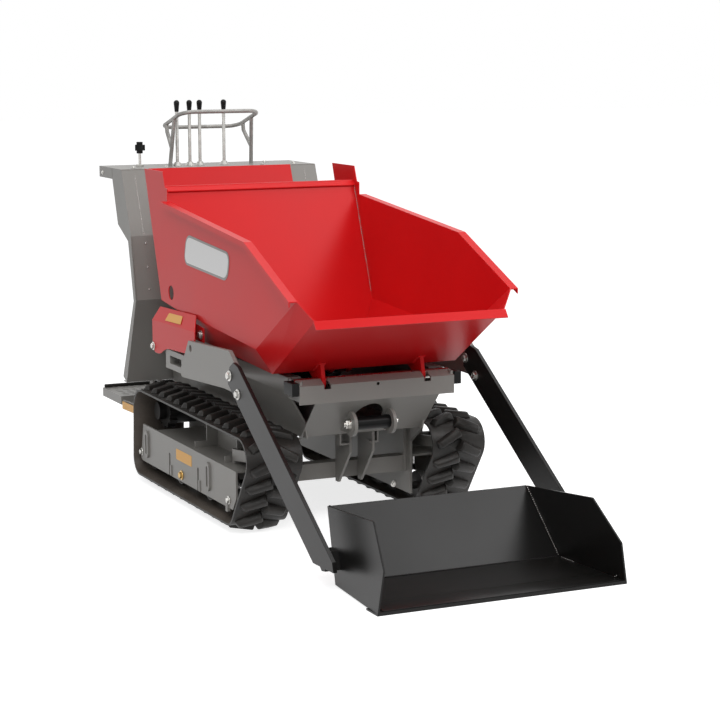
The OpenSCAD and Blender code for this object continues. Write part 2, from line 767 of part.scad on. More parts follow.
module hoop_ring() {
  r = 46;
  x = hoop_l / 2 - r;
  y = hoop_w / 2 - r;
  for (s = [-1, 1]) {
    translate([-x, s * hoop_w / 2, 0]) rotate([0, 90, 0]) cylinder(d = hoop_d, h = 2 * x);
    translate([s * hoop_l / 2, y, 0]) rotate([90, 0, 0]) cylinder(d = hoop_d, h = 2 * y);
  }
  for (c = [[x, y, 0], [-x, y, 90], [-x, -y, 180], [x, -y, 270]]) {
    translate([c[0], c[1], 0]) rotate(c[2]) rotate_extrude(angle = 90) translate([r, 0]) circle(d = hoop_d);
  }
}

module lever_hoop() {
  color(zinc) {
    translate(hoop_mid) rotate([0, -hoop_tilt, 0]) hoop_ring();
    for (s = [-1, 1]) {
      side = [lever_x, hoop_mid[1] + s * hoop_w / 2, console_top_z];
      hoop_bar(side + [0, s * 8, 1.2], side + [28, 0, hoop_rise - 31 + 28 * tan(hoop_tilt)]);
      hoop_bar(side + [10, s * 5, 62], side + [-50, 0, 118]);
      hoop_bar(side + [-49, 0, 115], side + [-54, 0, hoop_rise - 31 - 54 * tan(hoop_tilt)]);
    }
  }
}

module control_valve() {
  z1 = console_top_z - console_t - clear;
  color(plastic) {
    translate([lever_x - 34, lever_ys[0] - 34, z1 - 60]) cube([68, lever_ys[3] - lever_ys[0] + 68, 60]);
    for (y = lever_ys) {
      translate([lever_x, y, z1 - 96]) cylinder(d = 34, h = 36);
      translate([lever_x - 52, y, z1 - 32]) rotate([0, 90, 0]) cylinder(d = 20, h = 104);
    }
  }
}

// Engine, seen behind and under the skip
engine_x = -610;

module engine_block() {
  head = [engine_x + 20, -10, engine_z + 150];
  color(plastic) {
    translate([engine_x - 110, -120, engine_z + clear]) cube([engine_depth, 200, 26]);
    translate([engine_x - 92, -108, engine_z + 24]) cube([engine_depth - 36, 176, 130]);
    translate([engine_x, 60, engine_z + 90]) rotate([-90, 0, 0]) cylinder(d = 120, h = 40);
    translate([engine_x, 90, engine_z + 90]) rotate([-90, 0, 0]) cylinder(d = 26, h = 56);
    translate(head - [62, 62, 0]) cube([124, 124, 80]);
    for (k = [0:6]) {
      translate(head + [-74, -74, 6 + k * 10]) cube([148, 148, 4]);
    }
  }
}

module engine_starter() {
  depth = engine_w / 2 - 120 - clear;
  color(plastic) translate([engine_x, -engine_w / 2, engine_z + 120]) rotate([-90, 0, 0]) difference() {
    union() {
      cylinder(d = 200, h = depth - 14);
      translate([0, 0, depth - 14]) cylinder(d = 216, h = 14);
    }
    for (k = [0:17]) {
      rotate(k * 20) translate([46, -3.5, -1]) cube([34, 7, 13]);
    }
    difference() {
      translate([0, 0, -1]) cylinder(d = 66, h = 7);
      translate([0, 0, -2]) cylinder(d = 40, h = 9);
    }
  }
}

module fuel_tank() {
  z0 = engine_z + 230 + clear;
  color(paint_red) {
    translate([engine_x, -10, z0]) linear_extrude(14) rounded(206, 296, 46);
    translate([engine_x, -10, z0 + 14]) linear_extrude(70) rounded(194, 284, 40);
    translate([engine_x, -10, z0 + 84]) linear_extrude(14) rounded(170, 260, 34);
  }
  color(plastic) translate([engine_x, -70, z0 + 98]) {
    cylinder(d = 46, h = 8);
    translate([0, 0, 8]) cylinder(d = 58, h = 16);
  }
}

module muffler() {
  x = engine_x + 94 + clear;
  color(zinc) difference() {
    translate([x, -100, engine_z + 158]) cube([40, 150, 64]);
    for (k = [0:5]) {
      translate([x + 36, -88 + k * 23, engine_z + 170]) cube([8, 9, 40]);
    }
  }
}

module air_cleaner() {
  y = 64 + clear;
  y1 = engine_w / 2;
  color(plastic) {
    translate([engine_x - 20, (y + y1) / 2, engine_z + 156]) linear_extrude(52) rounded(130, y1 - y, 26);
    translate([engine_x - 20, (y + y1) / 2, engine_z + 208]) linear_extrude(10) rounded(120, y1 - y - 10, 22);
    translate([engine_x - 20, (y + y1) / 2, engine_z + 218]) cylinder(d = 24, h = 9);
  }
}

module oil_tank() {
  color(paint_black) translate([-384, 60, frame_foot_z + frame_t + clear]) {
    linear_extrude(104) rounded(120, 110, 15);
    translate([20, 0, 104]) cylinder(d = 42, h = 10);
  }
}

// Shovel, arms and levers
module lever_plate() {
  difference() {
    polygon([[-178, 548], [169, 564], [325, 463], [300, 440], [128, 444], [-240, 424], [-258, 440]]);
    translate([-160, 526]) circle(d = lock_hole_d);
  }
}

function arm_line(k) = [[190, 490], [820, 84]][k];

module arm_plate() {
  a = arm_line(0);
  b = arm_line(1);
  dir = (b - a) / norm(b - a);
  side = [-dir[1], dir[0]] * arm_depth / 2;
  polygon(concat([a + side - dir * 10], [b + side + dir * 60, b + dir * 96 - side * 0.2,
    b - side + dir * 30, a - side - dir * 10],
    [for (k = [1:5]) a - dir * 10 - side * cos(k * 30) - dir * (arm_depth / 2) * sin(k * 30)]));
}

module lever_right() { color(paint_grey) slab(-arm_y, -arm_y + arm_t) lever_plate(); }
module lever_left() { color(paint_grey) slab(arm_y, arm_y + arm_t) lever_plate(); }
module arm_right() { color(paint_black) slab(-arm_y - arm_t, -arm_y) arm_plate(); }
module arm_left() { color(paint_black) slab(arm_y - arm_t, arm_y) arm_plate(); }

module lift_shaft() {
  color(paint_grey) {
    bar_y([lift_x, lift_z], lift_d, -arm_y + arm_t, arm_y);
    for (s = [-1, 1]) {
      slab(lift_y + s * 29 - 5, lift_y + s * 29 + 5) difference() {
        union() {
          translate([lift_x, lift_z]) circle(d = lift_d + 20);
          translate([lift_x, lift_z]) rotate(crank_angle) translate([0, -18]) square([crank_l, 36]);
          translate(lift_eye) circle(d = 40);
        }
        translate([lift_x, lift_z]) circle(d = lift_d + 2 * clear);
      }
      bar_y(lift_eye, cylinder_pin_d + 6, lift_y + s * 37 - 3, lift_y + s * 37 + 3);
    }
  }
}

shovel_front_x = 1170;
shovel_floor_z = 5;
shovel_floor_x = shovel_front_x - shovel_floor_l;
shovel_back_top = [shovel_floor_x - 137, shovel_h - 30];
shovel_lean = 0.148;
shovel_splay = ((shovel_front_w - shovel_back_w) / 2 - shovel_lean * (shovel_back_top[1] - shovel_floor_z))
  / (shovel_front_x - shovel_back_top[0]);
function shovel_side(p, t) = [p[0], shovel_back_w / 2 + shovel_splay * (p[0] - shovel_back_top[0])
  - shovel_lean * (p[1] - shovel_back_top[1]) - t, p[1]];
shovel_outside = [for (p = [[shovel_floor_x, shovel_floor_z], shovel_back_top, [shovel_front_x - 115, shovel_h],
  [shovel_front_x, 118], [shovel_front_x, shovel_floor_z]]) shovel_side(p, 0)];
shovel_rise = shovel_back_top - [shovel_floor_x, shovel_floor_z];
shovel_inside = [for (p = [[shovel_floor_x + shovel_t, shovel_floor_z + shovel_t],
  [shovel_floor_x + 1.6 * shovel_t, shovel_floor_z] + 2 * shovel_rise, [shovel_front_x + 200, shovel_floor_z + shovel_t],
  [shovel_front_x + 200, shovel_floor_z + 2 * shovel_rise[1]]]) shovel_side(p, 1.02 * shovel_t)];

module shovel_tabs() {
  for (s = [0, 1]) {
    mirror([0, s, 0]) slab(shovel_back_w / 2 - 30, arm_y - (s > 0 ? 0 : arm_t))
      polygon([[790, 96], [838, 96], [874, 52], [848, 48]]);
  }
}

module shovel_pan() {
  color(paint_black) {
    difference() {
      union() {
        corner_hull(shovel_outside);
        shovel_tabs();
      }
      corner_hull(shovel_inside);
    }
    slab(-shovel_front_w / 2, shovel_front_w / 2) polygon([[shovel_front_x - 70, 0.5],
      [shovel_front_x - 70, 5.5], [shovel_front_x, 5.5], [shovel_front_x, 0.5]]);
  }
}

// Cylinders: the barrel from the base pin, and the rod to its eye
tip_dir = (tip_eye - tip_base) / norm(tip_eye - tip_base);
lift_dir = (lift_eye - lift_base) / norm(lift_eye - lift_base);

module along(p, dir, y) {
  translate([p[0], y, p[1]]) rotate([0, 90 - atan2(dir[1], dir[0]), 0]) children();
}

module barrel(p, dir, y, d, rod, len) {
  difference() {
    union() {
      bar_y(p, cylinder_pin_d + 20, y - 24, y + 24);
      along(p, dir, y) translate([0, 0, 14]) cylinder(d = d, h = len - 14);
    }
    bar_y(p, cylinder_pin_d + 2 * fit_gap, y - 60, y + 60);
    along(p, dir, y) translate([0, 0, 40]) cylinder(d = rod + 2 * fit_gap, h = len);
  }
}

module rod(p, q, dir, y, d, start) {
  difference() {
    union() {
      bar_y(q, cylinder_pin_d + 16, y - 18, y + 18);
      along(p, dir, y) translate([0, 0, start]) cylinder(d = d, h = norm(q - p) - start - 12);
    }
    bar_y(q, cylinder_pin_d + 2 * fit_gap, y - 60, y + 60);
  }
}

tip_barrel_l = norm(tip_eye - tip_base) - 45;
lift_barrel_l = norm(lift_eye - lift_base) - 45;

module tip_cylinder_barrel() {
  color(plastic) barrel(tip_base, tip_dir, 0, tip_barrel_d, tip_rod_d, tip_barrel_l);
}

module tip_cylinder_rod() { color(zinc) rod(tip_base, tip_eye, tip_dir, 0, tip_rod_d, 50); }

module lift_cylinder_barrel() {
  color(plastic) barrel(lift_base, lift_dir, lift_y, lift_barrel_d, lift_rod_d, lift_barrel_l);
}

module lift_cylinder_rod() { color(zinc) rod(lift_base, lift_eye, lift_dir, lift_y, lift_rod_d, 50); }

// Operator's platform, folding up about its front edge
platform_x = -1170;
platform_hinge = [platform_x + platform_depth, platform_z - 16];

module platform() {
  t = 4;
  color(paint_grey) {
    difference() {
      translate([platform_x, -platform_w / 2, platform_z - platform_drop])
        cube([platform_depth - 14, platform_w, platform_drop]);
      translate([platform_x + t, -platform_w / 2 + t, platform_z - platform_drop - 1])
        cube([platform_depth - 14 - 2 * t, platform_w - 2 * t, platform_drop + 1 - t]);
    }
    for (s = [-1, 1]) {
      slab(s * 250 - 5, s * 250 + 5) difference() {
        union() {
          translate(platform_hinge) circle(d = 28);
          translate(platform_hinge + [-28, -12]) square([28, 24]);
        }
        translate(platform_hinge) circle(d = 12 + 2 * fit_gap);
      }
    }
  }
}

module platform_bracket() {
  foot_z = console_line[3][1] - clear;
  color(paint_grey) {
    for (s = [-1, 1]) {
      for (e = [-1, 1]) {
        slab(s * 250 + e * 14 - 4, s * 250 + e * 14 + 4) union() {
          translate(platform_hinge) circle(d = 18);
          polygon([platform_hinge + [0, 9], platform_hinge + [22, 9], [-922, foot_z], [-894, foot_z],
            [-880, 262], [-812, 218], [-812, 206], [-890, 206], platform_hinge - [0, 9]]);
        }
      }
      bar_y(platform_hinge, 12, s * 250 - 22, s * 250 + 22);
    }
  }
}

chassis_frame();
front_pin();
skip_hinge_shaft();
side_cover_right();
side_cover_left();
track_frame_right();
track_frame_left();
track_right();
track_left();
sprocket_right();
sprocket_left();
drive_motor_right();
drive_motor_left();
idler_right();
idler_left();
rollers_right();
rollers_left();
console_bulkhead();
console_top();
console_panel();
lever_hoop();
control_levers();
throttle_lever();
control_valve();
engine_block();
engine_starter();
fuel_tank();
muffler();
air_cleaner();
oil_tank();
skip_shell();
skip_lugs();
lift_shaft();
lever_right();
lever_left();
arm_right();
arm_left();
shovel_pan();
tip_cylinder_barrel();
tip_cylinder_rod();
lift_cylinder_barrel();
lift_cylinder_rod();
platform();
platform_bracket();
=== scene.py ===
import math

import bpy
from mathutils import Matrix, Vector


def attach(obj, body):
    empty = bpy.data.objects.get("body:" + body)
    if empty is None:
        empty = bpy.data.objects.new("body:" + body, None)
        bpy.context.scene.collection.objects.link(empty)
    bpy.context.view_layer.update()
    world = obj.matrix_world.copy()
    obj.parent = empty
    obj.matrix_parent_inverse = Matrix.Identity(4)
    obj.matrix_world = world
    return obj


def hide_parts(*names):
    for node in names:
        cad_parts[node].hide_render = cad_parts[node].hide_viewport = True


# The tracked dumper's looks: finishes, fasteners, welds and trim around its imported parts

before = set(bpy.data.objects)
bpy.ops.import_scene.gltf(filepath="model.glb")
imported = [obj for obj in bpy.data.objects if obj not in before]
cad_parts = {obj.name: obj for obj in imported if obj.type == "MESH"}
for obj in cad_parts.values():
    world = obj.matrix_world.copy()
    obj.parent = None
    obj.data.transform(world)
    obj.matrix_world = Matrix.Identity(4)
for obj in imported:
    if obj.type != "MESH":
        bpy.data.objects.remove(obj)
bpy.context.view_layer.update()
scene = bpy.context.scene
scene.view_settings.view_transform = "Standard"

photoCamera = {
    "place": (5.9018, -2.6268, 1.4961),
    "headingDegrees": 24.92,
    "downDegrees": 8.90,
    "rollDegrees": -0.148,
    "lensMillimetres": 103.99,
    "sensorMillimetres": 36.0,
    "farMetres": 200.0,
}

studio = {
    "floorColour": (0.62, 0.62, 0.62),
    "floorSize": 60.0,
    "worldColour": (0.97, 0.98, 1.0),
    "worldStrength": 0.50,
    "keyPlace": (4.4, -2.4, 4.4),
    "keyPower": 120.0,
    "keySize": 2.6,
    "fillPlace": (3.4, 2.6, 3.9),
    "fillPower": 70.0,
    "fillSize": 2.0,
    "topPlace": (-0.6, 0.6, 4.6),
    "topPower": 70.0,
    "topSize": 3.4,
    "floorGlow": 0.78,
    "lampAim": (0.1, 0.0, 0.5),
}


def makeCamera(view):
    yaw = math.radians(view["headingDegrees"])
    pitch = math.radians(view["downDegrees"])
    forward = Vector((-math.cos(yaw) * math.cos(pitch), math.sin(yaw) * math.cos(pitch), -math.sin(pitch)))
    right = forward.cross(Vector((0, 0, 1))).normalized()
    up = right.cross(forward).normalized()
    turn = Matrix((right, up, -forward)).transposed().to_4x4()
    turn = turn @ Matrix.Rotation(math.radians(view["rollDegrees"]), 4, "Z")
    data = bpy.data.cameras.new("photoCamera")
    data.lens = view["lensMillimetres"]
    data.sensor_width = view["sensorMillimetres"]
    data.clip_end = view["farMetres"]
    camera = bpy.data.objects.new("photoCamera", data)
    scene.collection.objects.link(camera)
    camera.matrix_world = Matrix.Translation(Vector(view["place"])) @ turn
    scene.camera = camera


def addLamp(name, place, power, size, target):
    data = bpy.data.lights.new(name, "AREA")
    data.energy = power
    data.size = size
    lamp = bpy.data.objects.new(name, data)
    scene.collection.objects.link(lamp)
    lamp.location = place
    lamp.rotation_euler = (Vector(target) - Vector(place)).to_track_quat("-Z", "Y").to_euler()


def feed(links, socket, value):
    # the value is a colour, a number or another node's socket
    if isinstance(value, tuple):
        socket.default_value = (*value, 1)
    elif isinstance(value, (int, float)):
        socket.default_value = value
    else:
        links.new(value, socket)


def mathNode(nodes, links, operation, first, second, clamp=False):
    node = nodes.new("ShaderNodeMath")
    node.operation = operation
    node.use_clamp = clamp
    feed(links, node.inputs[0], first)
    feed(links, node.inputs[1], second)
    return node.outputs[0]


def seenDirectly(nodes, links):
    # 1 where the camera, a mirror or a glass looks straight at the backdrop
    path = nodes.new("ShaderNodeLightPath")
    value = path.outputs["Is Camera Ray"]
    for ray in ("Is Glossy Ray", "Is Transmission Ray"):
        value = mathNode(nodes, links, "MAXIMUM", value, path.outputs[ray])
    return value


def addGlow(nodes, kind, strength, colour=(1, 1, 1)):
    node = nodes.new(kind)
    node.inputs["Color"].default_value = (*colour, 1)
    node.inputs["Strength"].default_value = strength
    return node


def mixShaders(nodes, links, factor, first, second):
    mix = nodes.new("ShaderNodeMixShader")
    for value, socket in zip((factor, first.outputs[0], second.outputs[0]), mix.inputs):
        links.new(value, socket)
    return mix


def makeWorld(settings):
    # soft light for the object, plain white for what looks straight at it
    world = bpy.data.worlds.new("studioWorld")
    scene.world = world
    world.use_nodes = True
    nodes, links = world.node_tree.nodes, world.node_tree.links
    nodes.clear()
    out = nodes.new("ShaderNodeOutputWorld")
    soft = addGlow(nodes, "ShaderNodeBackground", settings["worldStrength"], settings["worldColour"])
    white = addGlow(nodes, "ShaderNodeBackground", 1.0)
    mix = mixShaders(nodes, links, seenDirectly(nodes, links), soft, white)
    links.new(mix.outputs[0], out.inputs[0])


def makeFloor(settings):
    # a pale floor that takes the shadow and looks white to the camera
    bpy.ops.object.select_all(action="DESELECT")
    bpy.ops.mesh.primitive_plane_add(size=settings["floorSize"])
    floor = bpy.context.object
    floor.name = "studioFloor"
    material = bpy.data.materials.new("floorWhite")
    material.use_nodes = True
    nodes, links = material.node_tree.nodes, material.node_tree.links
    nodes.clear()
    out = nodes.new("ShaderNodeOutputMaterial")
    matt = nodes.new("ShaderNodeBsdfDiffuse")
    matt.inputs["Color"].default_value = (*settings["floorColour"], 1)
    glow = addGlow(nodes, "ShaderNodeEmission", settings["floorGlow"])
    blank = addGlow(nodes, "ShaderNodeEmission", 0.0)
    glowMix = mixShaders(nodes, links, seenDirectly(nodes, links), blank, glow)
    add = nodes.new("ShaderNodeAddShader")
    links.new(matt.outputs[0], add.inputs[0])
    links.new(glowMix.outputs[0], add.inputs[1])
    links.new(add.outputs[0], out.inputs[0])
    floor.data.materials.append(material)


makeCamera(photoCamera)
makeWorld(studio)
makeFloor(studio)
for lamp in ("key", "fill", "top"):
    place, power, size = (studio[lamp + fact] for fact in ("Place", "Power", "Size"))
    addLamp(lamp + "Lamp", place, power, size, studio["lampAim"])
print("camera, floor and lamps are up")


def newGroup(name, inputs, outputs):
    group = bpy.data.node_groups.new(name, "ShaderNodeTree")
    for label, value in inputs.items():
        socket = group.interface.new_socket(name=label, in_out="INPUT", socket_type="NodeSocketFloat")
        socket.default_value = value
    for label, kind in outputs.items():
        group.interface.new_socket(name=label, in_out="OUTPUT", socket_type=kind)
    given, out = group.nodes.new("NodeGroupInput"), group.nodes.new("NodeGroupOutput")
    return group, group.nodes, group.links, given.outputs, out.inputs


def sharpen(nodes, links, value, cutOff, gain):
    value = mathNode(nodes, links, "SUBTRACT", value, cutOff, clamp=True)
    return mathNode(nodes, links, "MULTIPLY", value, gain, clamp=True)


def objectPlace(nodes):
    return nodes.new("ShaderNodeTexCoord").outputs["Object"]


def addNoise(nodes, links, place, scale, detail=2.0, roughness=0.5):
    noise = nodes.new("ShaderNodeTexNoise")
    links.new(place, noise.inputs["Vector"])
    feed(links, noise.inputs["Scale"], scale)
    noise.inputs["Detail"].default_value = detail
    noise.inputs["Roughness"].default_value = roughness
    return noise.outputs["Fac"]


def addBump(nodes, links, height, strength, depth, under=None):
    bump = nodes.new("ShaderNodeBump")
    links.new(height, bump.inputs["Height"])
    feed(links, bump.inputs["Strength"], strength)
    bump.inputs["Distance"].default_value = depth
    if under is not None:
        links.new(under, bump.inputs["Normal"])
    return bump.outputs["Normal"]


def stretchPlace(nodes, links, place, turn, stretch):
    mapping = nodes.new("ShaderNodeMapping")
    mapping.inputs["Rotation"].default_value = turn
    mapping.inputs["Scale"].default_value = stretch
    links.new(place, mapping.inputs["Vector"])
    return mapping.outputs[0]


def heightOf(nodes, links, vector):
    parts = nodes.new("ShaderNodeSeparateXYZ")
    links.new(vector, parts.inputs[0])
    return parts.outputs["Z"]


def placeGroup(nodes, group, **values):
    node = nodes.new("ShaderNodeGroup")
    node.node_tree = group
    for label, value in values.items():
        node.inputs[label].default_value = value
    return node.outputs


def mixColour(nodes, links, factor, first, second):
    node = nodes.new("ShaderNodeMix")
    node.data_type = "RGBA"
    feed(links, node.inputs["Factor"], factor)
    feed(links, node.inputs[6], first)
    feed(links, node.inputs[7], second)
    return node.outputs[2]


noiseRange = (0.3, 0.7)  # where most of a noise's values lie


def mapValue(nodes, links, value, low=0.0, high=1.0):
    node = nodes.new("ShaderNodeMapRange")
    links.new(value, node.inputs["Value"])
    for label, number in zip(("From Min", "From Max", "To Min", "To Max"), (*noiseRange, low, high)):
        node.inputs[label].default_value = number
    return node.outputs["Result"]


skinLook = {
    "peelScale": 420.0,
    "peelDepth": 0.0006,
    "waveScale": 7.0,
    "waveDetail": 1.0,
    "waveDepth": 0.004,
    "mottleScale": 3.2,
    "mottleDetail": 5.0,
}


def makePaintSkin(look):
    # fine orange peel of sprayed paint over the slow waves of the sheet
    group, nodes, links, given, out = newGroup(
        "paintSkin",
        {"Peel": 0.06, "Waves": 0.03},
        {"Normal": "NodeSocketVector", "Mottle": "NodeSocketFloat"})
    place = objectPlace(nodes)
    peel = addNoise(nodes, links, place, look["peelScale"])
    waves = addNoise(nodes, links, place, look["waveScale"], look["waveDetail"])
    under = addBump(nodes, links, waves, given["Waves"], look["waveDepth"])
    links.new(addBump(nodes, links, peel, given["Peel"], look["peelDepth"], under), out["Normal"])
    links.new(addNoise(nodes, links, place, look["mottleScale"], look["mottleDetail"]), out["Mottle"])
    return group


dustLook = {
    "detail": 8.0,
    "roughness": 0.62,
    "lying": 0.45,
    "cutOff": 0.42,
    "gain": 3.2,
    # on paint: how much of a finish's dust value shows, its colour and how far it dulls the gloss
    "paintShare": 3.0,
    "paintColour": (0.30, 0.27, 0.23),
    "dulls": 0.4,
}


def makeDustMask(look):
    # dust that gathers low down and lies thicker on faces that look up
    group, nodes, links, given, out = newGroup(
        "dustMask", {"Scale": 14.0, "Amount": 0.3, "Reach": 0.35}, {"Dust": "NodeSocketFloat"})
    place = objectPlace(nodes)
    noise = addNoise(nodes, links, place, given["Scale"], look["detail"], look["roughness"])
    low = mathNode(nodes, links, "DIVIDE", heightOf(nodes, links, place), given["Reach"])
    low = mathNode(nodes, links, "SUBTRACT", 1.0, low, clamp=True)
    up = heightOf(nodes, links, nodes.new("ShaderNodeNewGeometry").outputs["Normal"])
    lying = mathNode(nodes, links, "MULTIPLY", up, look["lying"], clamp=True)
    patchy = sharpen(nodes, links, noise, look["cutOff"], look["gain"])
    dust = mathNode(nodes, links, "MULTIPLY", mathNode(nodes, links, "ADD", low, lying), patchy)
    links.new(mathNode(nodes, links, "MULTIPLY", dust, given["Amount"], clamp=True), out["Dust"])
    return group


scuffLook = {
    # each direction of scratches: turn in radians and stretch
    "lines": (((0.3, 0.2, 0.5), (1.0, 14.0, 9.0)), ((0.1, 0.9, -0.4), (11.0, 1.0, 16.0))),
    "lineDetail": 3.0,
    "lineCut": 0.66,
    "lineGain": 9.0,
    "patchScale": 4.0,
    "patchDetail": 4.0,
    "patchCut": 0.48,
    "patchGain": 6.0,
}


def makeScuffMask(look):
    # fine scratches along two directions, broken up by patches
    group, nodes, links, given, out = newGroup(
        "scuffMask", {"Scale": 30.0, "Amount": 0.3}, {"Scuff": "NodeSocketFloat"})
    place = objectPlace(nodes)
    lines = []
    for turn, stretch in look["lines"]:
        along = stretchPlace(nodes, links, place, turn, stretch)
        noise = addNoise(nodes, links, along, given["Scale"], look["lineDetail"])
        lines.append(sharpen(nodes, links, noise, look["lineCut"], look["lineGain"]))
    scuff = mathNode(nodes, links, "MAXIMUM", *lines)
    patch = addNoise(nodes, links, place, look["patchScale"], look["patchDetail"])
    patch = sharpen(nodes, links, patch, look["patchCut"], look["patchGain"])
    scuff = mathNode(nodes, links, "MULTIPLY", scuff, patch)
    links.new(mathNode(nodes, links, "MULTIPLY", scuff, given["Amount"], clamp=True), out["Scuff"])
    return group


paintSkin = makePaintSkin(skinLook)
dustMask = makeDustMask(dustLook)
scuffMask = makeScuffMask(scuffLook)


def newMaterial(name):
    material = bpy.data.materials.new(name)
    material.use_nodes = True
    nodes, links = material.node_tree.nodes, material.node_tree.links
    return material, nodes, links, nodes["Principled BSDF"].inputs


def scaled(colour, share):
    return tuple(share * part for part in colour)


finishes = {
    # deep is the colour in the paint's darker clouds, bare the colour in a scratch
    "redPaint": dict(
        colour=(0.66, 0.011, 0.013), deep=(0.61, 0.009, 0.011), bare=(0.68, 0.05, 0.045),
        roughness=(0.28, 0.32), specular=0.13, peel=0.04, waves=0.02, dust=0.0, dustReach=0.5, scuff=0.0),
    "greyPaint": dict(
        colour=(0.250, 0.240, 0.222), deep=(0.225, 0.216, 0.200), bare=(0.42, 0.41, 0.39),
        roughness=(0.36, 0.42), specular=0.35, peel=0.08, waves=0.03, dust=0.02, dustReach=0.3, scuff=0.04),
    "blackPaint": dict(
        colour=(0.0085, 0.0080, 0.0075), deep=(0.0070, 0.0066, 0.0063), bare=(0.04, 0.038, 0.036),
        roughness=(0.30, 0.34), specular=0.22, peel=0.08, waves=0.03, dust=0.0, dustReach=0.1, scuff=0.05),
    "darkCasting": dict(
        colour=(0.014, 0.0135, 0.013), deep=(0.010, 0.0095, 0.009), bare=(0.08, 0.078, 0.075),
        roughness=(0.38, 0.5), specular=0.35, peel=0.25, waves=0.03, dust=0.05, dustReach=0.4, scuff=0.10),
    "engineBlack": dict(
        colour=(0.014, 0.014, 0.014), deep=(0.010, 0.010, 0.010), bare=(0.06, 0.06, 0.06),
        roughness=(0.42, 0.55), specular=0.35, peel=0.30, waves=0.02, dust=0.04, dustReach=0.9, scuff=0.05),
}


def makePaint(name, finish):
    material, nodes, links, shader = newMaterial(name)
    skin = placeGroup(nodes, paintSkin, Peel=finish["peel"], Waves=finish["waves"])
    amount = finish["dust"] * dustLook["paintShare"]
    dust = placeGroup(nodes, dustMask, Amount=amount, Reach=finish["dustReach"])["Dust"]
    scuff = placeGroup(nodes, scuffMask, Amount=finish["scuff"])["Scuff"]
    tone = mapValue(nodes, links, skin["Mottle"])
    colour = mixColour(nodes, links, tone, finish["deep"], finish["colour"])
    colour = mixColour(nodes, links, scuff, colour, finish["bare"])
    links.new(mixColour(nodes, links, dust, colour, dustLook["paintColour"]), shader["Base Color"])
    gloss = mapValue(nodes, links, skin["Mottle"], *finish["roughness"])
    dull = mathNode(nodes, links, "MULTIPLY", dust, dustLook["dulls"])
    links.new(mathNode(nodes, links, "ADD", gloss, dull, clamp=True), shader["Roughness"])
    links.new(skin["Normal"], shader["Normal"])
    shader["Specular IOR Level"].default_value = finish["specular"]
    return material


rubberLook = {
    "grainScale": 240.0,
    "grainDetail": 4.0,
    "grainBump": (0.35, 0.0012),
    "patchScale": 9.0,
    "patchDetail": 6.0,
    "patchShare": 1.9,
    "dustScale": 22.0,
    "dustReach": 0.5,
    "dustColour": (0.13, 0.11, 0.09),
    "roughness": (0.34, 0.5),
    "specular": 0.28,
    # colour and dust of each rubber; the inner rubber is about five times lighter, painted light for the
    # plate's shade over the belt's inner side, with dust on it
    "kinds": {"trackRubber": ((0.0115, 0.0105, 0.0095), 0.16), "dustAndLightRubber": ((0.060, 0.050, 0.042), 0.4)},
}


def makeRubber(name, look):
    colour, dusty = look["kinds"][name]
    material, nodes, links, shader = newMaterial(name)
    place = objectPlace(nodes)
    grain = addNoise(nodes, links, place, look["grainScale"], look["grainDetail"])
    links.new(addBump(nodes, links, grain, *look["grainBump"]), shader["Normal"])
    dust = placeGroup(nodes, dustMask, Scale=look["dustScale"], Amount=dusty, Reach=look["dustReach"])
    tone = mapValue(nodes, links, addNoise(nodes, links, place, look["patchScale"], look["patchDetail"]))
    base = mixColour(nodes, links, tone, colour, scaled(colour, look["patchShare"]))
    links.new(mixColour(nodes, links, dust["Dust"], base, look["dustColour"]), shader["Base Color"])
    links.new(mapValue(nodes, links, grain, *look["roughness"]), shader["Roughness"])
    shader["Specular IOR Level"].default_value = look["specular"]
    return material


metalLook = {
    "brushScale": 120.0,
    "brushDetail": 3.0,
    "brushStretch": (1.0, 0.25, 1.0),
    "brushBump": (0.12, 0.0005),
    "spotScale": 38.0,
    "spotDetail": 5.0,
    "spotShare": 0.72,
    # colour, roughness from the brightest spots to the dullest, metallic share
    "kinds": {
        "zincPlate": ((0.62, 0.61, 0.58), (0.24, 0.34), 1.0),
        "galvanised": ((0.36, 0.35, 0.33), (0.40, 0.50), 0.35),
        # worn steel on the rollers' running faces, and painted highlight rings on their outer edges
        "wornSteelAndGlint": ((0.30, 0.29, 0.28), (0.30, 0.42), 0.8),
        # painted highlight: a bright metal laid on welds that are painted over, standing in for the glints
        # they catch
        "weldBead": ((0.55, 0.52, 0.50), (0.20, 0.30), 0.7),
        "hardChrome": ((0.74, 0.74, 0.74), (0.08, 0.16), 1.0),
        "heatSteel": ((0.46, 0.43, 0.39), (0.34, 0.5), 1.0),
        "brassTone": ((0.62, 0.42, 0.16), (0.28, 0.42), 1.0),
    },
}


def makeMetal(name, look):
    colour, (bright, dull), metallic = look["kinds"][name]
    material, nodes, links, shader = newMaterial(name)
    place = objectPlace(nodes)
    along = stretchPlace(nodes, links, place, (0, 0, 0), look["brushStretch"])
    brush = addNoise(nodes, links, along, look["brushScale"], look["brushDetail"])
    spots = addNoise(nodes, links, place, look["spotScale"], look["spotDetail"])
    tone = mapValue(nodes, links, spots)
    spotted = mixColour(nodes, links, tone, scaled(colour, look["spotShare"]), colour)
    links.new(spotted, shader["Base Color"])
    links.new(mapValue(nodes, links, spots, dull, bright), shader["Roughness"])
    shader["Metallic"].default_value = metallic
    links.new(addBump(nodes, links, brush, *look["brushBump"]), shader["Normal"])
    return material


mouldedLook = {
    "grainScale": 900.0,
    "grainShare": 1.15,
    "grainBump": (0.15, 0.0003),
    "specular": 0.16,
    # colour and roughness of each moulded plastic or printed label
    "kinds": {
        "knobBlack": ((0.004, 0.004, 0.004), (0.30, 0.4)),
        "labelWhite": ((0.74, 0.74, 0.73), (0.3, 0.4)),
        "labelGrey": ((0.30, 0.29, 0.28), (0.3, 0.4)),
        "labelAmber": ((0.76, 0.40, 0.09), (0.32, 0.42)),
    },
}


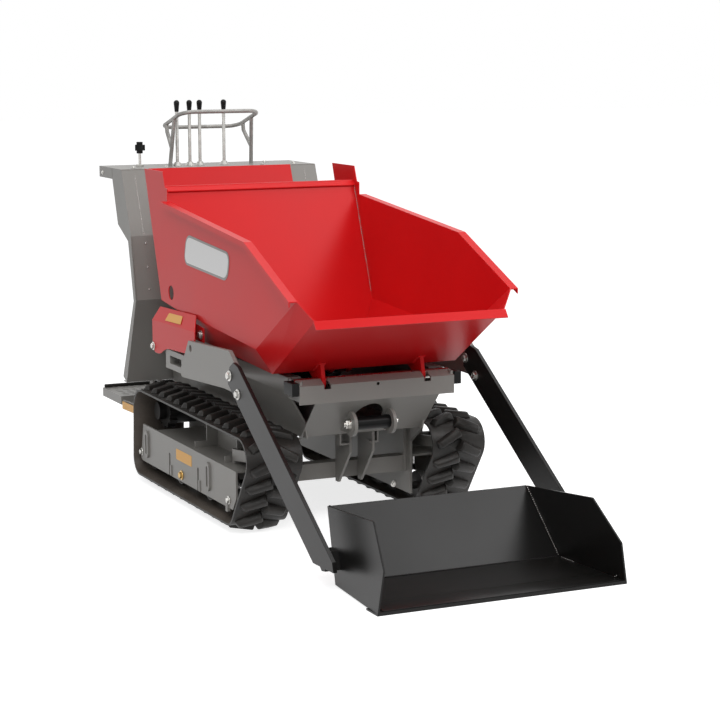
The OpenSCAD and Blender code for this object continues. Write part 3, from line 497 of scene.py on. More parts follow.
def makeMoulded(name, look):
    colour, roughness = look["kinds"][name]
    material, nodes, links, shader = newMaterial(name)
    grain = addNoise(nodes, links, objectPlace(nodes), look["grainScale"])
    links.new(addBump(nodes, links, grain, *look["grainBump"]), shader["Normal"])
    clouded = mixColour(nodes, links, grain, colour, scaled(colour, look["grainShare"]))
    links.new(clouded, shader["Base Color"])
    links.new(mapValue(nodes, links, grain, *roughness), shader["Roughness"])
    shader["Specular IOR Level"].default_value = look["specular"]
    return material


materials = {name: makePaint(name, finish) for name, finish in finishes.items()}
for maker, look in ((makeRubber, rubberLook), (makeMetal, metalLook), (makeMoulded, mouldedLook)):
    for name in look["kinds"]:
        materials[name] = maker(name, look)
print("finishes are mixed")


nodeFinish = {
    "redPaint": ["side_cover_right", "side_cover_left", "console_panel", "skip_shell", "skip_lugs",
                 "fuel_tank"],
    "greyPaint": ["chassis_frame", "track_frame_right", "track_frame_left", "console_bulkhead",
                  "console_top", "lever_right", "lever_left", "lift_shaft", "platform", "platform_bracket"],
    "blackPaint": ["arm_right", "arm_left", "shovel_pan", "oil_tank"],
    "trackRubber": ["track_right", "track_left"],
    "zincPlate": ["skip_hinge_shaft", "control_levers", "throttle_lever", "front_pin"],
    "galvanised": ["lever_hoop"],
    "hardChrome": ["tip_cylinder_rod", "lift_cylinder_rod"],
    "heatSteel": ["muffler"],
    "engineBlack": ["engine_block", "engine_starter", "air_cleaner"],
}


def dressNodes():
    chosen = {node: finish for finish, names in nodeFinish.items() for node in names}
    for name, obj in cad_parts.items():
        material = materials[chosen.get(name, "darkCasting")]
        obj.data.materials.clear()
        obj.data.materials.append(material)


dressNodes()
print("packed parts are painted")


def startClean():
    bpy.ops.object.select_all(action="DESELECT")


def makeActive(piece):
    startClean()
    piece.select_set(True)
    bpy.context.view_layer.objects.active = piece


def newPiece(name):
    # the primitive just added becomes this piece, its place held in its mesh
    piece = bpy.context.object
    bpy.ops.object.transform_apply(location=True, rotation=True, scale=True)
    piece.name = name
    piece.data.name = name
    return piece


def addBlock(name, size, middle=(0, 0, 0)):
    startClean()
    bpy.ops.mesh.primitive_cube_add(size=1)
    bpy.context.object.scale = size
    bpy.context.object.location = middle
    return newPiece(name)


def dropPicks(kind):
    # nothing of the active mesh stays picked, and what is picked next are faces, edges or corners
    bpy.ops.object.mode_set(mode="EDIT")
    bpy.ops.mesh.select_mode(type=kind)
    bpy.ops.mesh.select_all(action="DESELECT")
    bpy.ops.object.mode_set(mode="OBJECT")


def pickFaces(piece, wanted):
    # selects the faces whose centre and normal the rule accepts, and stays in edit mode
    dropPicks("FACE")
    for face in piece.data.polygons:
        face.select = wanted(face.center, face.normal)
    bpy.ops.object.mode_set(mode="EDIT")


def pickEdges(piece, wanted):
    # selects the edges whose two ends the rule accepts, and stays in edit mode
    dropPicks("EDGE")
    corners = piece.data.vertices
    for edge in piece.data.edges:
        edge.select = wanted(corners[edge.vertices[0]].co, corners[edge.vertices[1]].co)
    bpy.ops.object.mode_set(mode="EDIT")


def leaveEdit():
    bpy.ops.object.mode_set(mode="OBJECT")


def editAll():
    bpy.ops.object.mode_set(mode="EDIT")
    bpy.ops.mesh.select_all(action="SELECT")


def applyBevel(piece, width, segments=2, angle=40):
    bevel = piece.modifiers.new("edge", "BEVEL")
    bevel.width = width
    bevel.segments = segments
    bevel.limit_method = "ANGLE"
    bevel.angle_limit = math.radians(angle)
    bpy.ops.object.modifier_apply(modifier=bevel.name)


def applySolid(piece, thickness, offset):
    solid = piece.modifiers.new("thickness", "SOLIDIFY")
    solid.thickness = thickness
    solid.offset = offset
    bpy.ops.object.modifier_apply(modifier=solid.name)


squareOn = 0.95  # how closely a face looks along an axis to be picked as its end

# edges that bend by less than this many degrees are shaded smooth
roundAngle = 60
crispAngle = 30


def smoothShade(piece, angle):
    makeActive(piece)
    bpy.ops.object.shade_smooth_by_angle(angle=math.radians(angle))


def evenShade(piece):
    # keeps flat faces flat beside their rounded edges
    smoothShade(piece, roundAngle)
    even = piece.modifiers.new("even", "WEIGHTED_NORMAL")
    even.keep_sharp = True
    even.weight = 100
    bpy.ops.object.modifier_apply(modifier=even.name)


def copyAt(model, name, matrix):
    mesh = model.data.copy()
    mesh.transform(matrix)
    if matrix.determinant() < 0:
        mesh.flip_normals()
    piece = bpy.data.objects.new(name, mesh)
    scene.collection.objects.link(piece)
    return piece


def joinPieces(name, parts):
    startClean()
    for part in parts:
        part.select_set(True)
    bpy.context.view_layer.objects.active = parts[0]
    if len(parts) > 1:
        bpy.ops.object.join()
    whole = bpy.context.view_layer.objects.active
    whole.name = name
    whole.data.name = name
    return whole


def finishPiece(piece, body, finish):
    piece.data.materials.clear()
    piece.data.materials.append(materials[finish])
    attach(piece, body)


def discard(model):
    bpy.data.objects.remove(model, do_unlink=True)


def facing(place, axis, roll):
    # puts a model's +Z along the axis at the place
    turn = axis.normalized().to_track_quat("Z", "Y").to_matrix().to_4x4()
    return Matrix.Translation(place) @ turn @ Matrix.Rotation(math.radians(roll), 4, "Z")


sideSign = {"right": -1, "left": 1}


trackLook = {
    # bottom front, idler, sprocket and bottom rear: X, Z and radius
    "wheels": ((0.140, 0.083, 0.045), (0.243, 0.244, 0.054), (-0.645, 0.244, 0.062),
               (-0.670, 0.083, 0.045)),
    "belt": 0.014,
    "beltSteps": (8, 6),
    "edgeRise": 0.0075,
    "tolerance": 0.001,
    "mergeReach": 0.00005,
    "shadeAngle": 32,
    "middle": 0.308,
    "width": 0.180,
    "lugs": 34,
    "lugLength": 0.030,
    "lugWidth": 0.088,
    "lugHeight": 0.0235,
    "lugSink": 0.001,
    "lugSlant": 24.0,
    "lugRound": 0.0048,
    "topShare": (0.55, 0.84),
    "knob": 1.35,
    "drop": (0, 0.002, -0.007),
    # how far apart the two rows lie, and each row's lead within a pitch
    "rowShare": 0.39,
    "rows": {-1: 0.25, 1: 0.75},
    # tells the belt's inner side by its faces' direction from the middle, with X pressed together
    "inner": {"middle": (-0.265, 0.165), "stretch": 0.2, "reach": -0.62},
}


def makeLap(wheels, belt):
    # the loop as arcs and straights: kind, length and what lapPoint needs for it
    stretches = []
    turns = []
    for i, (x, z, r) in enumerate(wheels):
        nextX, nextZ, nextR = wheels[(i + 1) % len(wheels)]
        span = math.hypot(nextX - x, nextZ - z)
        turns.append(math.atan2(nextZ - z, nextX - x) - math.pi / 2 + math.asin((r - nextR) / span))
    for i, (x, z, r) in enumerate(wheels):
        start, end = turns[i - 1], turns[i]
        while end < start:
            end += 2 * math.pi
        stretches.append(("arc", (r + belt) * (end - start), (x, z, r, start, end)))
        nextX, nextZ, nextR = wheels[(i + 1) % len(wheels)]
        run = math.sqrt((nextX - x) ** 2 + (nextZ - z) ** 2 - (r - nextR) ** 2)
        stretches.append(("straight", run, (x, z, r, nextX, nextZ, nextR, end)))
    return stretches


def lapPoint(stretches, run, height):
    run %= sum(length for _, length, _ in stretches)
    for kind, length, facts in stretches:
        if run <= length:
            share = run / length
            if kind == "arc":
                x, z, r, start, end = facts
                angle = start + (end - start) * share
                return x + (r + height) * math.cos(angle), z + (r + height) * math.sin(angle)
            x, z, r, nextX, nextZ, nextR, angle = facts
            out = Vector((math.cos(angle), math.sin(angle)))
            first = Vector((x, z)) + out * (r + height)
            last = Vector((nextX, nextZ)) + out * (nextR + height)
            point = first.lerp(last, share)
            return point.x, point.y
        run -= length


def makeLug(look):
    # one cleat: a bar tapered to its top, thicker at one end, sloped at the other, all edges rounded
    height = look["lugHeight"] + look["lugSink"]
    lug = addBlock("lugModel", (look["lugLength"], look["lugWidth"], height),
                   (0, 0, height / 2 + look["belt"] - look["lugSink"]))
    pickFaces(lug, lambda centre, normal: normal.z > squareOn)
    bpy.ops.transform.resize(value=(*look["topShare"], 1.0))
    leaveEdit()
    pickFaces(lug, lambda centre, normal: normal.y > squareOn)
    bpy.ops.transform.resize(value=(look["knob"], 1.0, 1.0))
    leaveEdit()
    halfway = look["belt"] + look["lugHeight"] / 2
    pickEdges(lug, lambda first, last: min(first.z, last.z) > halfway and max(first.y, last.y) < 0)
    bpy.ops.transform.translate(value=look["drop"])
    leaveEdit()
    applyBevel(lug, look["lugRound"], segments=3, angle=25)
    editAll()
    bpy.ops.mesh.subdivide(number_cuts=1)
    leaveEdit()
    return lug


def makeBelt(look, lap):
    # the belt laid out flat, open at its two ends
    startClean()
    along, across = look["beltSteps"]
    bpy.ops.mesh.primitive_grid_add(x_subdivisions=along * look["lugs"], y_subdivisions=across, size=1)
    bpy.context.object.scale = (lap, look["width"], 1)
    bpy.context.object.location = (lap / 2, 0, look["belt"])
    belt = newPiece("belt")
    editAll()
    bpy.ops.mesh.extrude_region_move(TRANSFORM_OT_translate={"value": (0, 0, -look["belt"])})
    bpy.ops.mesh.select_all(action="SELECT")
    bpy.ops.mesh.normals_make_consistent(inside=False)
    leaveEdit()
    pickFaces(belt, lambda centre, normal: abs(normal.x) > squareOn)
    bpy.ops.mesh.delete(type="FACE")
    leaveEdit()
    return belt


def wrapTread(tread, side, stretches, look):
    # bends the flat tread round its wheels and closes it
    half = look["width"] / 2
    for corner in tread.data.vertices:
        run, across, height = corner.co
        if height < look["tolerance"] and abs(across) > half - look["tolerance"]:
            height = look["edgeRise"]  # the belt is thin at its edges
        x, z = lapPoint(stretches, run, height)
        across = max(-half, min(half, across))
        corner.co = (x, (across + look["middle"]) * sideSign[side], z)
    if side == "left":
        tread.data.flip_normals()
    editAll()
    bpy.ops.mesh.remove_doubles(threshold=look["mergeReach"])
    bpy.ops.mesh.normals_make_consistent(inside=False)
    leaveEdit()


def dustAndLightInner(tread, middle, stretch, reach):
    # the side that runs on the rollers gets the lighter dusty rubber: painted light in the shade under the
    # track plate, together with dust
    tread.data.materials.append(materials["dustAndLightRubber"])
    for face in tread.data.polygons:
        away = Vector((stretch * (face.center.x - middle[0]), 0, face.center.z - middle[1])).normalized()
        if face.normal.dot(away) < reach:
            face.material_index = 1


def makeTread(side, look):
    stretches = makeLap(look["wheels"], look["belt"])
    lap = sum(length for _, length, _ in stretches)
    pitch = lap / look["lugs"]
    lug = makeLug(look)
    parts = [makeBelt(look, lap)]
    for k in range(look["lugs"]):
        for row, lead in look["rows"].items():
            turn = Matrix.Rotation(math.radians(row * look["lugSlant"] + (180 if row > 0 else 0)), 4, "Z")
            offset = row * (look["width"] - look["lugWidth"]) * look["rowShare"]
            parts.append(copyAt(lug, "lug", Matrix.Translation(((k + lead) * pitch, offset, 0)) @ turn))
    discard(lug)
    tread = joinPieces("tread_" + side, parts)
    wrapTread(tread, side, stretches, look)
    smoothShade(tread, look["shadeAngle"])
    finishPiece(tread, "chassis", "trackRubber")
    dustAndLightInner(tread, **look["inner"])
    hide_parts("track_" + side)


for side in sideSign:
    makeTread(side, trackLook)
print("tracks are wrapped")


boltLook = {
    "head": 1.0,
    "headHeight": 0.36,
    "headSink": 0.01,
    "headRound": 0.07,
    "headRim": 0.06,
    "headDish": 0.03,
    "washer": 1.5,
    "washerHeight": 0.14,
    "washerRound": 0.04,
    "rollStep": 17.0,
    # piece: body, finish, first roll and each place on the right side with its axis and the width across
    # the head's corners, mirrored to the left
    "groups": {
        "bolts_chassis": ("chassis", "zincPlate", 0.0, [
            ((-0.550, -0.3805, 0.481), (0, -1, 0), 0.019), ((-0.684, -0.382, 0.101), (0, -1, 0), 0.018),
            ((0.120, -0.382, 0.096), (0, -1, 0), 0.018), ((-0.1880, -0.3490, 0.562), (0, -1, 0), 0.020),
            ((0.1305, -0.170, 0.098), (1, 0, 0), 0.014),
            ((-1.110, -0.362, 1.020), (0, -1, 0), 0.010), ((-1.085, -0.240, 1.041), (0, 0, 1), 0.012),
            ((-0.960, -0.300, 1.041), (0, 0, 1), 0.012), ((-0.960, -0.180, 1.041), (0, 0, 1), 0.012)]),
        "bolts_shovel": ("shovel", "zincPlate", 0.0, [
            ((0.206, -0.408, 0.494), (0, -1, 0), 0.022), ((0.272, -0.408, 0.448), (0, -1, 0), 0.022),
            ((0.206, -0.384, 0.494), (0, 1, 0), 0.022), ((0.272, -0.384, 0.448), (0, 1, 0), 0.022)]),
        "drain_plugs": ("chassis", "brassTone", 8.0, [((-0.295, -0.382, 0.094), (0, -1, 0), 0.021)]),
    },
}


def makeBolt(look):
    # a hexagon head on a washer, one unit across its corners
    startClean()
    bpy.ops.mesh.primitive_cylinder_add(vertices=32, radius=look["washer"] / 2, depth=look["washerHeight"],
                                        location=(0, 0, look["washerHeight"] / 2))
    washer = newPiece("washerModel")
    applyBevel(washer, look["washerRound"])
    startClean()
    middle = look["headHeight"] / 2 + look["washerHeight"] - look["headSink"]
    bpy.ops.mesh.primitive_cylinder_add(vertices=6, radius=look["head"] / 2, depth=look["headHeight"],
                                        location=(0, 0, middle))
    head = newPiece("headModel")
    pickEdges(head, lambda a, b: min(a.z, b.z) > look["headHeight"] / 2)
    bpy.ops.mesh.bevel(offset=look["headRound"], segments=2, affect="EDGES")
    leaveEdit()
    pickFaces(head, lambda centre, normal: normal.z > squareOn)
    bpy.ops.mesh.inset(thickness=look["headRim"], depth=0.0)
    bpy.ops.mesh.inset(thickness=look["headDish"], depth=-look["headDish"])
    leaveEdit()
    return joinPieces("boltModel", [washer, head])


def makeFasteners(look):
    bolt = makeBolt(look)
    for name, (body, finish, firstRoll, places) in look["groups"].items():
        parts = []
        for number, (place, axis, size) in enumerate(places):
            for sign in (1, -1):
                here = Vector((place[0], sign * place[1], place[2]))
                there = Vector((axis[0], sign * axis[1], axis[2]))
                turn = facing(here, there, firstRoll + look["rollStep"] * number)
                parts.append(copyAt(bolt, "bolt", turn @ Matrix.Scale(size, 4)))
        bolts = joinPieces(name, parts)
        smoothShade(bolts, crispAngle)
        finishPiece(bolts, body, finish)
    discard(bolt)


makeFasteners(boltLook)
print("bolts are in")


plateLook = {
    # name: body, finish, corner radius, thickness and four corners on the right side seen from outside
    "badge_edge": ("skip", "labelGrey", 0.034, 0.0012, (
        (-0.344, -0.345, 0.772), (0.039, -0.345, 0.754),
        (0.061, -0.345, 0.844), (-0.318, -0.345, 0.870))),
    "badge_face": ("skip", "labelWhite", 0.028, 0.0006, (
        (-0.336, -0.3462, 0.779), (0.032, -0.3462, 0.762),
        (0.053, -0.3462, 0.8375), (-0.312, -0.3462, 0.8625))),
    "label_track": ("chassis", "labelAmber", 0.004, 0.0008, (
        (-0.344, -0.382, 0.138), (-0.202, -0.382, 0.138),
        (-0.202, -0.382, 0.173), (-0.344, -0.382, 0.173))),
    "label_cover": ("chassis", "labelAmber", 0.003, 0.0006, (
        (-0.446, -0.3762, 0.5780), (-0.301, -0.3762, 0.5823),
        (-0.323, -0.3602, 0.6048), (-0.449, -0.3602, 0.6010))),
    "label_step": ("chassis", "labelAmber", 0.003, 0.0006, (
        (-0.951, -0.3602, 0.2035), (-0.822, -0.3602, 0.2070),
        (-0.822, -0.3602, 0.2325), (-0.951, -0.3602, 0.2300))),
}


def makePlate(name, body, finish, radius, thickness, corners):
    # a flat sheet with rounded corners, set on its surface
    startClean()
    bpy.ops.mesh.primitive_plane_add(size=1)
    plate = newPiece(name)
    around = sorted(plate.data.vertices, key=lambda vertex: math.atan2(vertex.co.y, vertex.co.x))
    for vertex, corner in zip(around, corners):
        vertex.co = corner
    editAll()
    bpy.ops.mesh.bevel(offset=radius, segments=6, affect="VERTICES")
    leaveEdit()
    applySolid(plate, thickness, 1.0)
    finishPiece(plate, body, finish)


for name, (*facts, corners) in plateLook.items():
    makePlate(name + "_right", *facts, corners)
    makePlate(name + "_left", *facts, [(x, -y, z) for x, y, z in reversed(corners)])
print("blank plates are on")


def makeSheet(name, outline, across, thickness):
    # a flat upright sheet cut to an outline in X and Z
    startClean()
    bpy.ops.mesh.primitive_circle_add(vertices=len(outline), radius=0.1, fill_type="NGON")
    sheet = newPiece(name)
    for corner, (x, z) in zip(sheet.data.vertices, outline):
        corner.co = (x, across, z)
    applySolid(sheet, thickness, -1.0)
    return sheet


def tidySheet(sheet, width, angle=25):
    makeActive(sheet)
    editAll()
    bpy.ops.mesh.normals_make_consistent(inside=False)
    leaveEdit()
    applyBevel(sheet, width, angle=angle)
    evenShade(sheet)


armLook = {
    # the centre line in X and Z, half the width, and the outline as a line's end, a share of the half
    # width upward and metres along the arm
    "top": (0.206, 0.514),
    "end": (0.836, 0.108),
    "half": 0.048,
    "outline": (("top", 1.0, 0.045), ("end", 1.0, 0.098), ("end", 0.6, 0.120), ("end", -1.0, 0.007),
                ("top", -1.0, 0.012), ("top", -0.55, 0.0), ("top", 0.1, -0.005), ("top", 0.72, 0.010)),
    "sides": {"right": (-0.408, -0.396), "left": (0.384, 0.396)},
    "edge": 0.0010,
}


def makeArm(side, look):
    run = (Vector(look["end"]) - Vector(look["top"])).normalized()
    up = Vector((-run.y, run.x)) * look["half"]
    outline = [Vector(look[end]) + up * share + run * along for end, share, along in look["outline"]]
    near, far = look["sides"][side]
    arm = makeSheet("shovel_arm_" + side, outline, near, far - near)
    tidySheet(arm, look["edge"])
    # it may have been thickened outward, so it is set back between its two sides
    spread = [corner.co.y for corner in arm.data.vertices]
    shift = (near + far) / 2 - (min(spread) + max(spread)) / 2
    for corner in arm.data.vertices:
        corner.co.y += shift
    finishPiece(arm, "shovel", "blackPaint")
    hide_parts("arm_" + side)


coverLook = {
    # the top edge, the bend's line and the lower outline, on the right side
    "top": ((-0.562, -0.350, 0.609), (-0.226, -0.350, 0.619)),
    "bend": ((-0.562, -0.379, 0.567), (-0.161, -0.379, 0.576)),
    "low": ((-0.163, 0.500), (-0.400, 0.490), (-0.425, 0.487), (-0.452, 0.479), (-0.480, 0.466),
            (-0.505, 0.461), (-0.535, 0.461), (-0.553, 0.470), (-0.561, 0.485)),
    "thickness": 0.003,
    "edge": 0.0010,
    # the front tab inside: outline, Y on the left and thickness
    "tab": (((-0.240, 0.540), (-0.165, 0.540), (-0.165, 0.585), (-0.240, 0.592)), 0.349, 0.003),
    "tabEdge": 0.0006,
}


def makeCover(side, look):
    topRear, topFront = look["top"]
    bendRear, bendFront = look["bend"]
    low = [(x, bendFront[1], z) for x, z in look["low"]]
    corners = [topRear, topFront, bendFront, *low, bendRear]
    startClean()
    bpy.ops.mesh.primitive_circle_add(vertices=len(corners), radius=0.1, fill_type="NGON")
    cover = newPiece("cover_plate_" + side)
    for corner, (x, y, z) in zip(cover.data.vertices, corners):
        corner.co = (x, -sideSign[side] * y, z)
    dropPicks("VERT")
    for number in (2, len(corners) - 1):  # the bend's two ends
        cover.data.vertices[number].select = True
    bpy.ops.object.mode_set(mode="EDIT")
    bpy.ops.mesh.vert_connect()
    leaveEdit()
    applySolid(cover, look["thickness"], 0.0)
    tidySheet(cover, look["edge"], angle=20)
    outline, across, thickness = look["tab"]
    tab = makeSheet("tab", outline, sideSign[side] * across, thickness)
    tidySheet(tab, look["tabEdge"])
    whole = joinPieces("cover_plate_" + side, [cover, tab])
    finishPiece(whole, "chassis", "redPaint")
    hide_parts("side_cover_" + side)


cheekLook = {
    # the plate beside the footplate's hinge: outline, Y on the left and thickness
    "plate": (((-0.957, 0.2000), (-0.815, 0.2040), (-0.815, 0.2380), (-0.957, 0.2340)), 0.356, 0.004),
    # the strip that joins it to the bracket: size and middle on the left
    "strip": ((0.018, 0.096, 0.006), (-0.829, 0.310, 0.211)),
    "edge": 0.0010,
}


def makeCheek(side, look):
    outline, across, thickness = look["plate"]
    plate = makeSheet("plate", outline, sideSign[side] * across, thickness)
    tidySheet(plate, look["edge"])
    size, (x, y, z) = look["strip"]
    strip = addBlock("strip", size, (x, sideSign[side] * y, z))
    applyBevel(strip, look["edge"])
    cheek = joinPieces("step_cheek_" + side, [plate, strip])
    finishPiece(cheek, "chassis", "greyPaint")


for side in sideSign:
    makeArm(side, armLook)
    makeCover(side, coverLook)
    makeCheek(side, cheekLook)
print("arms, covers and cheeks are cut")


rollerLook = {
    "places": (-0.670, -0.408, -0.146, 0.116),
    "height": 0.083,
    "rim": 0.0435,
    "reach": 0.05,
    # a painted highlight ring on the edge of a roller's outer face: radius, half width, flattening and Y
    "edgeRadius": 0.0428,
    "edgeHalf": 0.0016,
    "edgeFlat": 0.6,
    "edgeAcross": 0.3430,
}


def nearRim(middle):
    # on the running face of a bottom roller
    return any(math.hypot(middle.x - x, middle.z - rollerLook["height"]) > rollerLook["rim"]
               and abs(middle.x - x) < rollerLook["reach"] for x in rollerLook["places"])


splitLook = {
    # node: the second finish and the rule that says where it goes, from a face's middle in metres
    "control_levers": ("knobBlack", lambda middle: middle.z > 1.2285),
    "rollers_right": ("wornSteelAndGlint", nearRim),
    "rollers_left": ("wornSteelAndGlint", nearRim),
    "throttle_lever": ("knobBlack", lambda middle: middle.z > 1.086),
    "front_pin": ("knobBlack", lambda middle: -0.0695 < middle.y < 0.0505),
    "skip_hinge_shaft": ("knobBlack", lambda middle: abs(middle.y) > 0.2565),
    "fuel_tank": ("knobBlack", lambda middle: middle.z > 0.7385),
}


def splitNodes(look):
    for name, (finish, rule) in look.items():
        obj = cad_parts[name]
        obj.data.materials.append(materials[finish])
        for face in obj.data.polygons:
            if rule(obj.matrix_world @ face.center):
                face.material_index = 1


def makeRimGlints(side, look):
    # painted highlights: bright metal rings where the edges of the bottom rollers' outer faces catch the
    # light
    startClean()
    bpy.ops.mesh.primitive_torus_add(major_radius=look["edgeRadius"], minor_radius=look["edgeHalf"],
                                     major_segments=48, minor_segments=8)
    ring = newPiece("ringModel")
    turn = Matrix.Rotation(math.pi / 2, 4, "X") @ Matrix.Diagonal((1, 1, look["edgeFlat"], 1))
    across = sideSign[side] * look["edgeAcross"]
    rings = [copyAt(ring, "ring", Matrix.Translation((x, across, look["height"])) @ turn)
             for x in look["places"]]
    discard(ring)
    edges = joinPieces("roller_glint_rings_" + side, rings)
    smoothShade(edges, roundAngle)
    finishPiece(edges, "chassis", "wornSteelAndGlint")


splitNodes(splitLook)
for side in sideSign:
    makeRimGlints(side, rollerLook)
print("knobs and roller rims have their second finish")


weldLook = {
    "ripple": 0.0034,
    "overlap": 1.25,
    "proud": 0.55,
    "noseShare": 0.7,
    # share of the width and step of the wave
    "sway": (0.06, 2.1),
    # bright seams are painted highlights, bright metal on beads that are painted over, and hand laid:
    # ripples further apart and of uneven size; each swell is the least size, what the wave adds and its
    # step
    "glintStep": 1.9,
    "glintSwell": (0.72, 0.42, 2.7),
    "plainSwell": (0.94, 0.08, 1.7),
    "seams": [
        # body, finish, width, start, end in metres, and whether there is one on the other side too
        ("shovel", "blackPaint", 0.008, (0.8555, -0.345, 0.0105), (0.8555, 0.345, 0.0105), False),
        ("shovel", "blackPaint", 0.007, (0.857, -0.3485, 0.012), (0.722, -0.3145, 0.198), False),
        # painted highlights: the shovel's painted welds in bright metal for their glints
        ("shovel", "weldBead", 0.005, (0.857, 0.3465, 0.013), (0.724, 0.3130, 0.198), False),
        ("shovel", "weldBead", 0.004, (0.868, 0.3475, 0.0112), (0.935, 0.3515, 0.0112), False),
        ("shovel", "weldBead", 0.004, (1.128, 0.3650, 0.0125), (1.142, 0.3655, 0.020), False),
        ("shovel", "blackPaint", 0.006, (0.800, -0.3960, 0.0975), (0.838, -0.3960, 0.0975), False),
        ("skip", "redPaint", 0.008, (-0.3605, -0.3015, 0.535), (-0.3605, 0.3015, 0.535), False),
        ("skip", "redPaint", 0.008, (-0.392, -0.339, 0.620), (-0.530, -0.339, 0.993), False),
        # painted highlight: the skip's inner corner weld in bright metal for its glints
        ("skip", "weldBead", 0.004, (-0.394, 0.3405, 0.640), (-0.528, 0.3405, 0.990), False),
        ("skip", "redPaint", 0.010, (0.296, -0.174, 0.5075), (0.337, -0.174, 0.5335), True),
        ("skip", "redPaint", 0.010, (0.296, -0.156, 0.5075), (0.337, -0.156, 0.5335), True),
        ("chassis", "greyPaint", 0.006, (-0.815, -0.3622, 0.820), (-0.776, -0.3622, 0.607), True),
        # painted highlight: the console's front seam in bright metal for its glints
        ("chassis", "weldBead", 0.0035, (-0.9010, -0.3160, 1.025), (-0.8175, -0.3160, 0.824), True),
        ("chassis", "greyPaint", 0.007, (0.372, -0.204, 0.4195), (0.372, 0.204, 0.4195), False),
        ("chassis", "greyPaint", 0.007, (0.290, -0.0795, 0.329), (0.321, -0.0795, 0.361), False),
        ("chassis", "greyPaint", 0.007, (0.290, 0.0605, 0.329), (0.321, 0.0605, 0.361), False),
    ],
}


def laySeam(ripple, finish, width, first, last, look):
    # one ripple is a flattened bead; a seam is a row of them, overlapped like laid weld
    run = last - first
    # the bright metal seams are painted highlights, laid with their own spacing and swell
    bright = finish == "weldBead"
    step = look["ripple"] * (look["glintStep"] if bright else 1.0)
    count = max(2, int(run.length / step))
    turn = run.normalized().to_track_quat("X", "Z").to_matrix().to_4x4()
    sway, swayStep = look["sway"]
    base, more, swellStep = look["glintSwell" if bright else "plainSwell"]
    beads = []
    for k in range(count):
        aside = sway * width * math.sin(swayStep * k) * (turn @ Vector((0, 1, 0, 0))).to_3d()
        place = Matrix.Translation(first + run * (k + 0.5) / count + aside)
        wave = math.sin(swellStep * k)
        swell = base + more * (abs(wave) if bright else wave)
        size = (look["overlap"] * swell * look["ripple"], width * swell, width * look["proud"], 1)
        beads.append(copyAt(ripple, "ripple", place @ turn @ Matrix.Diagonal(size)))
    return beads


def makeWelds(look):
    startClean()
    bpy.ops.mesh.primitive_uv_sphere_add(segments=10, ring_count=6, radius=0.5)
    ripple = newPiece("rippleModel")
    pickFaces(ripple, lambda centre, normal: centre.x > 0.0)
    bpy.ops.transform.resize(value=(look["noseShare"], 1.0, 1.0))
    leaveEdit()
    rows = {}
    for body, finish, width, start, end, both in look["seams"]:
        for sign in ((1, -1) if both else (1,)):
            first, last = (Vector((x, sign * y, z)) for x, y, z in (start, end))
            rows.setdefault((body, finish), []).extend(laySeam(ripple, finish, width, first, last, look))
    discard(ripple)
    for (body, finish), parts in rows.items():
        # the bright metal seams, painted highlights, form pieces of their own
        welds = joinPieces("welds_" + body + ("_painted_glint" if finish == "weldBead" else ""), parts)
        smoothShade(welds, roundAngle)
        finishPiece(welds, body, finish)


makeWelds(weldLook)
print("welds are laid")


stripLook = {
    # name: body, finish, size, middle, edge width
    "cutting_strip": ("shovel", "blackPaint", (0.090, 0.724, 0.0020), (1.1210, 0.0, 0.0110), 0.0009),
    "step_lip": ("platform", "trackRubber", (0.010, 0.712, 0.012), (-1.1630, 0.0, 0.2512), 0.0030),
}


def makeStrip(name, body, finish, size, middle, width):
    strip = addBlock(name, size, middle)
    applyBevel(strip, width, segments=3)
    smoothShade(strip, crispAngle)
    finishPiece(strip, body, finish)


for name, facts in stripLook.items():
    makeStrip(name, *facts)
print("cutting strip and step lip are on")


cutLook = {
    # boxes taken out of the right outrigger, mirrored to the left: lowest and highest corners
    "boxes": (((-0.900, -0.400, 0.4150), (-0.445, -0.2556, 0.4950)),
              ((-0.406, -0.400, 0.4430), (-0.299, -0.3440, 0.4685))),
    "edge": 0.0012,
}


def cutAway(piece, low, high):
    size = [top - bottom for bottom, top in zip(low, high)]
    box = addBlock("cut", size, [(top + bottom) / 2 for bottom, top in zip(low, high)])
    makeActive(piece)
    cut = piece.modifiers.new("cut", "BOOLEAN")
    cut.operation = "DIFFERENCE"
    cut.solver = "EXACT"
    cut.object = box
    bpy.ops.object.modifier_apply(modifier=cut.name)
    discard(box)


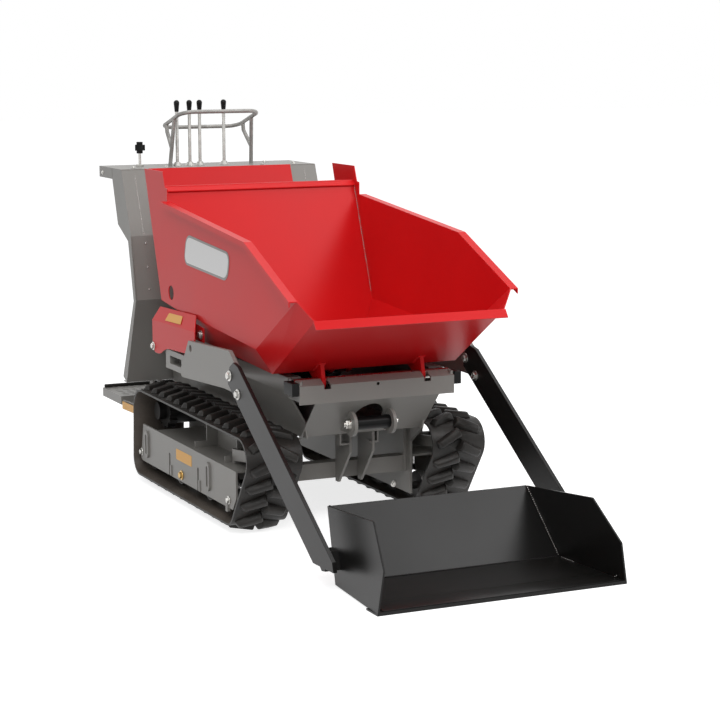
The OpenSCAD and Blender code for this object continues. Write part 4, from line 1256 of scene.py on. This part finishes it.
def makeChassis(look):
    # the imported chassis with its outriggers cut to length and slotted
    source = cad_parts["chassis_frame"]
    chassis = copyAt(source, "chassis_plates", source.matrix_world)
    for low, high in look["boxes"]:
        cutAway(chassis, low, high)
        cutAway(chassis, (low[0], -high[1], low[2]), (high[0], -low[1], high[2]))
    editAll()
    bpy.ops.mesh.dissolve_limited(angle_limit=math.radians(1.0))
    leaveEdit()
    applyBevel(chassis, look["edge"], angle=35)
    evenShade(chassis)
    finishPiece(chassis, "chassis", "greyPaint")
    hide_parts("chassis_frame")


spotLook = {
    # spot welds down the console's front, on the right side and mirrored to the left, in bright metal as
    # painted highlights
    "size": 0.007,
    "flat": 0.4,
    "places": ((-0.8060, -0.313, 0.795), (-0.7925, -0.312, 0.715), (-0.7828, -0.311, 0.640)),
}


def makeSpots(look):
    startClean()
    bpy.ops.mesh.primitive_uv_sphere_add(segments=12, ring_count=6, radius=look["size"] / 2)
    spot = newPiece("spotModel")
    flat = Matrix.Diagonal((look["flat"], 1, 1, 1))
    parts = [copyAt(spot, "spot", Matrix.Translation((x, sign * y, z)) @ flat)
             for sign in (1, -1) for x, y, z in look["places"]]
    discard(spot)
    spots = joinPieces("spot_weld_glints", parts)
    smoothShade(spots, roundAngle)
    # painted highlight: bright metal for the glints on the spot welds
    finishPiece(spots, "chassis", "weldBead")


makeChassis(cutLook)
makeSpots(spotLook)
print("chassis is cut and spotted")


chequerLook = {
    "bar": (0.026, 0.006, 0.0022),
    "barTop": (0.72, 0.3, 1.0),
    "barRound": 0.0007,
    "barTurn": 45.0,
    "pitch": 0.030,
    "first": (-1.150, -0.330),
    "counts": (6, 23),
    "top": 0.245,
    "proud": 0.3,
}


def makeChequer(look):
    # raised bars of chequer plate, every other one turned a quarter
    bar = addBlock("barModel", look["bar"])
    pickFaces(bar, lambda centre, normal: normal.z > squareOn)
    bpy.ops.transform.resize(value=look["barTop"])
    leaveEdit()
    applyBevel(bar, look["barRound"], angle=20)
    firstX, firstY = look["first"]
    height = look["top"] + look["proud"] * look["bar"][2]
    parts = []
    for i in range(look["counts"][0]):
        for k in range(look["counts"][1]):
            place = Matrix.Translation((firstX + i * look["pitch"], firstY + k * look["pitch"], height))
            turn = Matrix.Rotation(math.radians(look["barTurn"] * (1 if (i + k) % 2 else -1)), 4, "Z")
            parts.append(copyAt(bar, "bar", place @ turn))
    discard(bar)
    chequer = joinPieces("platform_chequer", parts)
    smoothShade(chequer, crispAngle)
    finishPiece(chequer, "platform", "greyPaint")


makeChequer(chequerLook)
print("footplate is dressed")
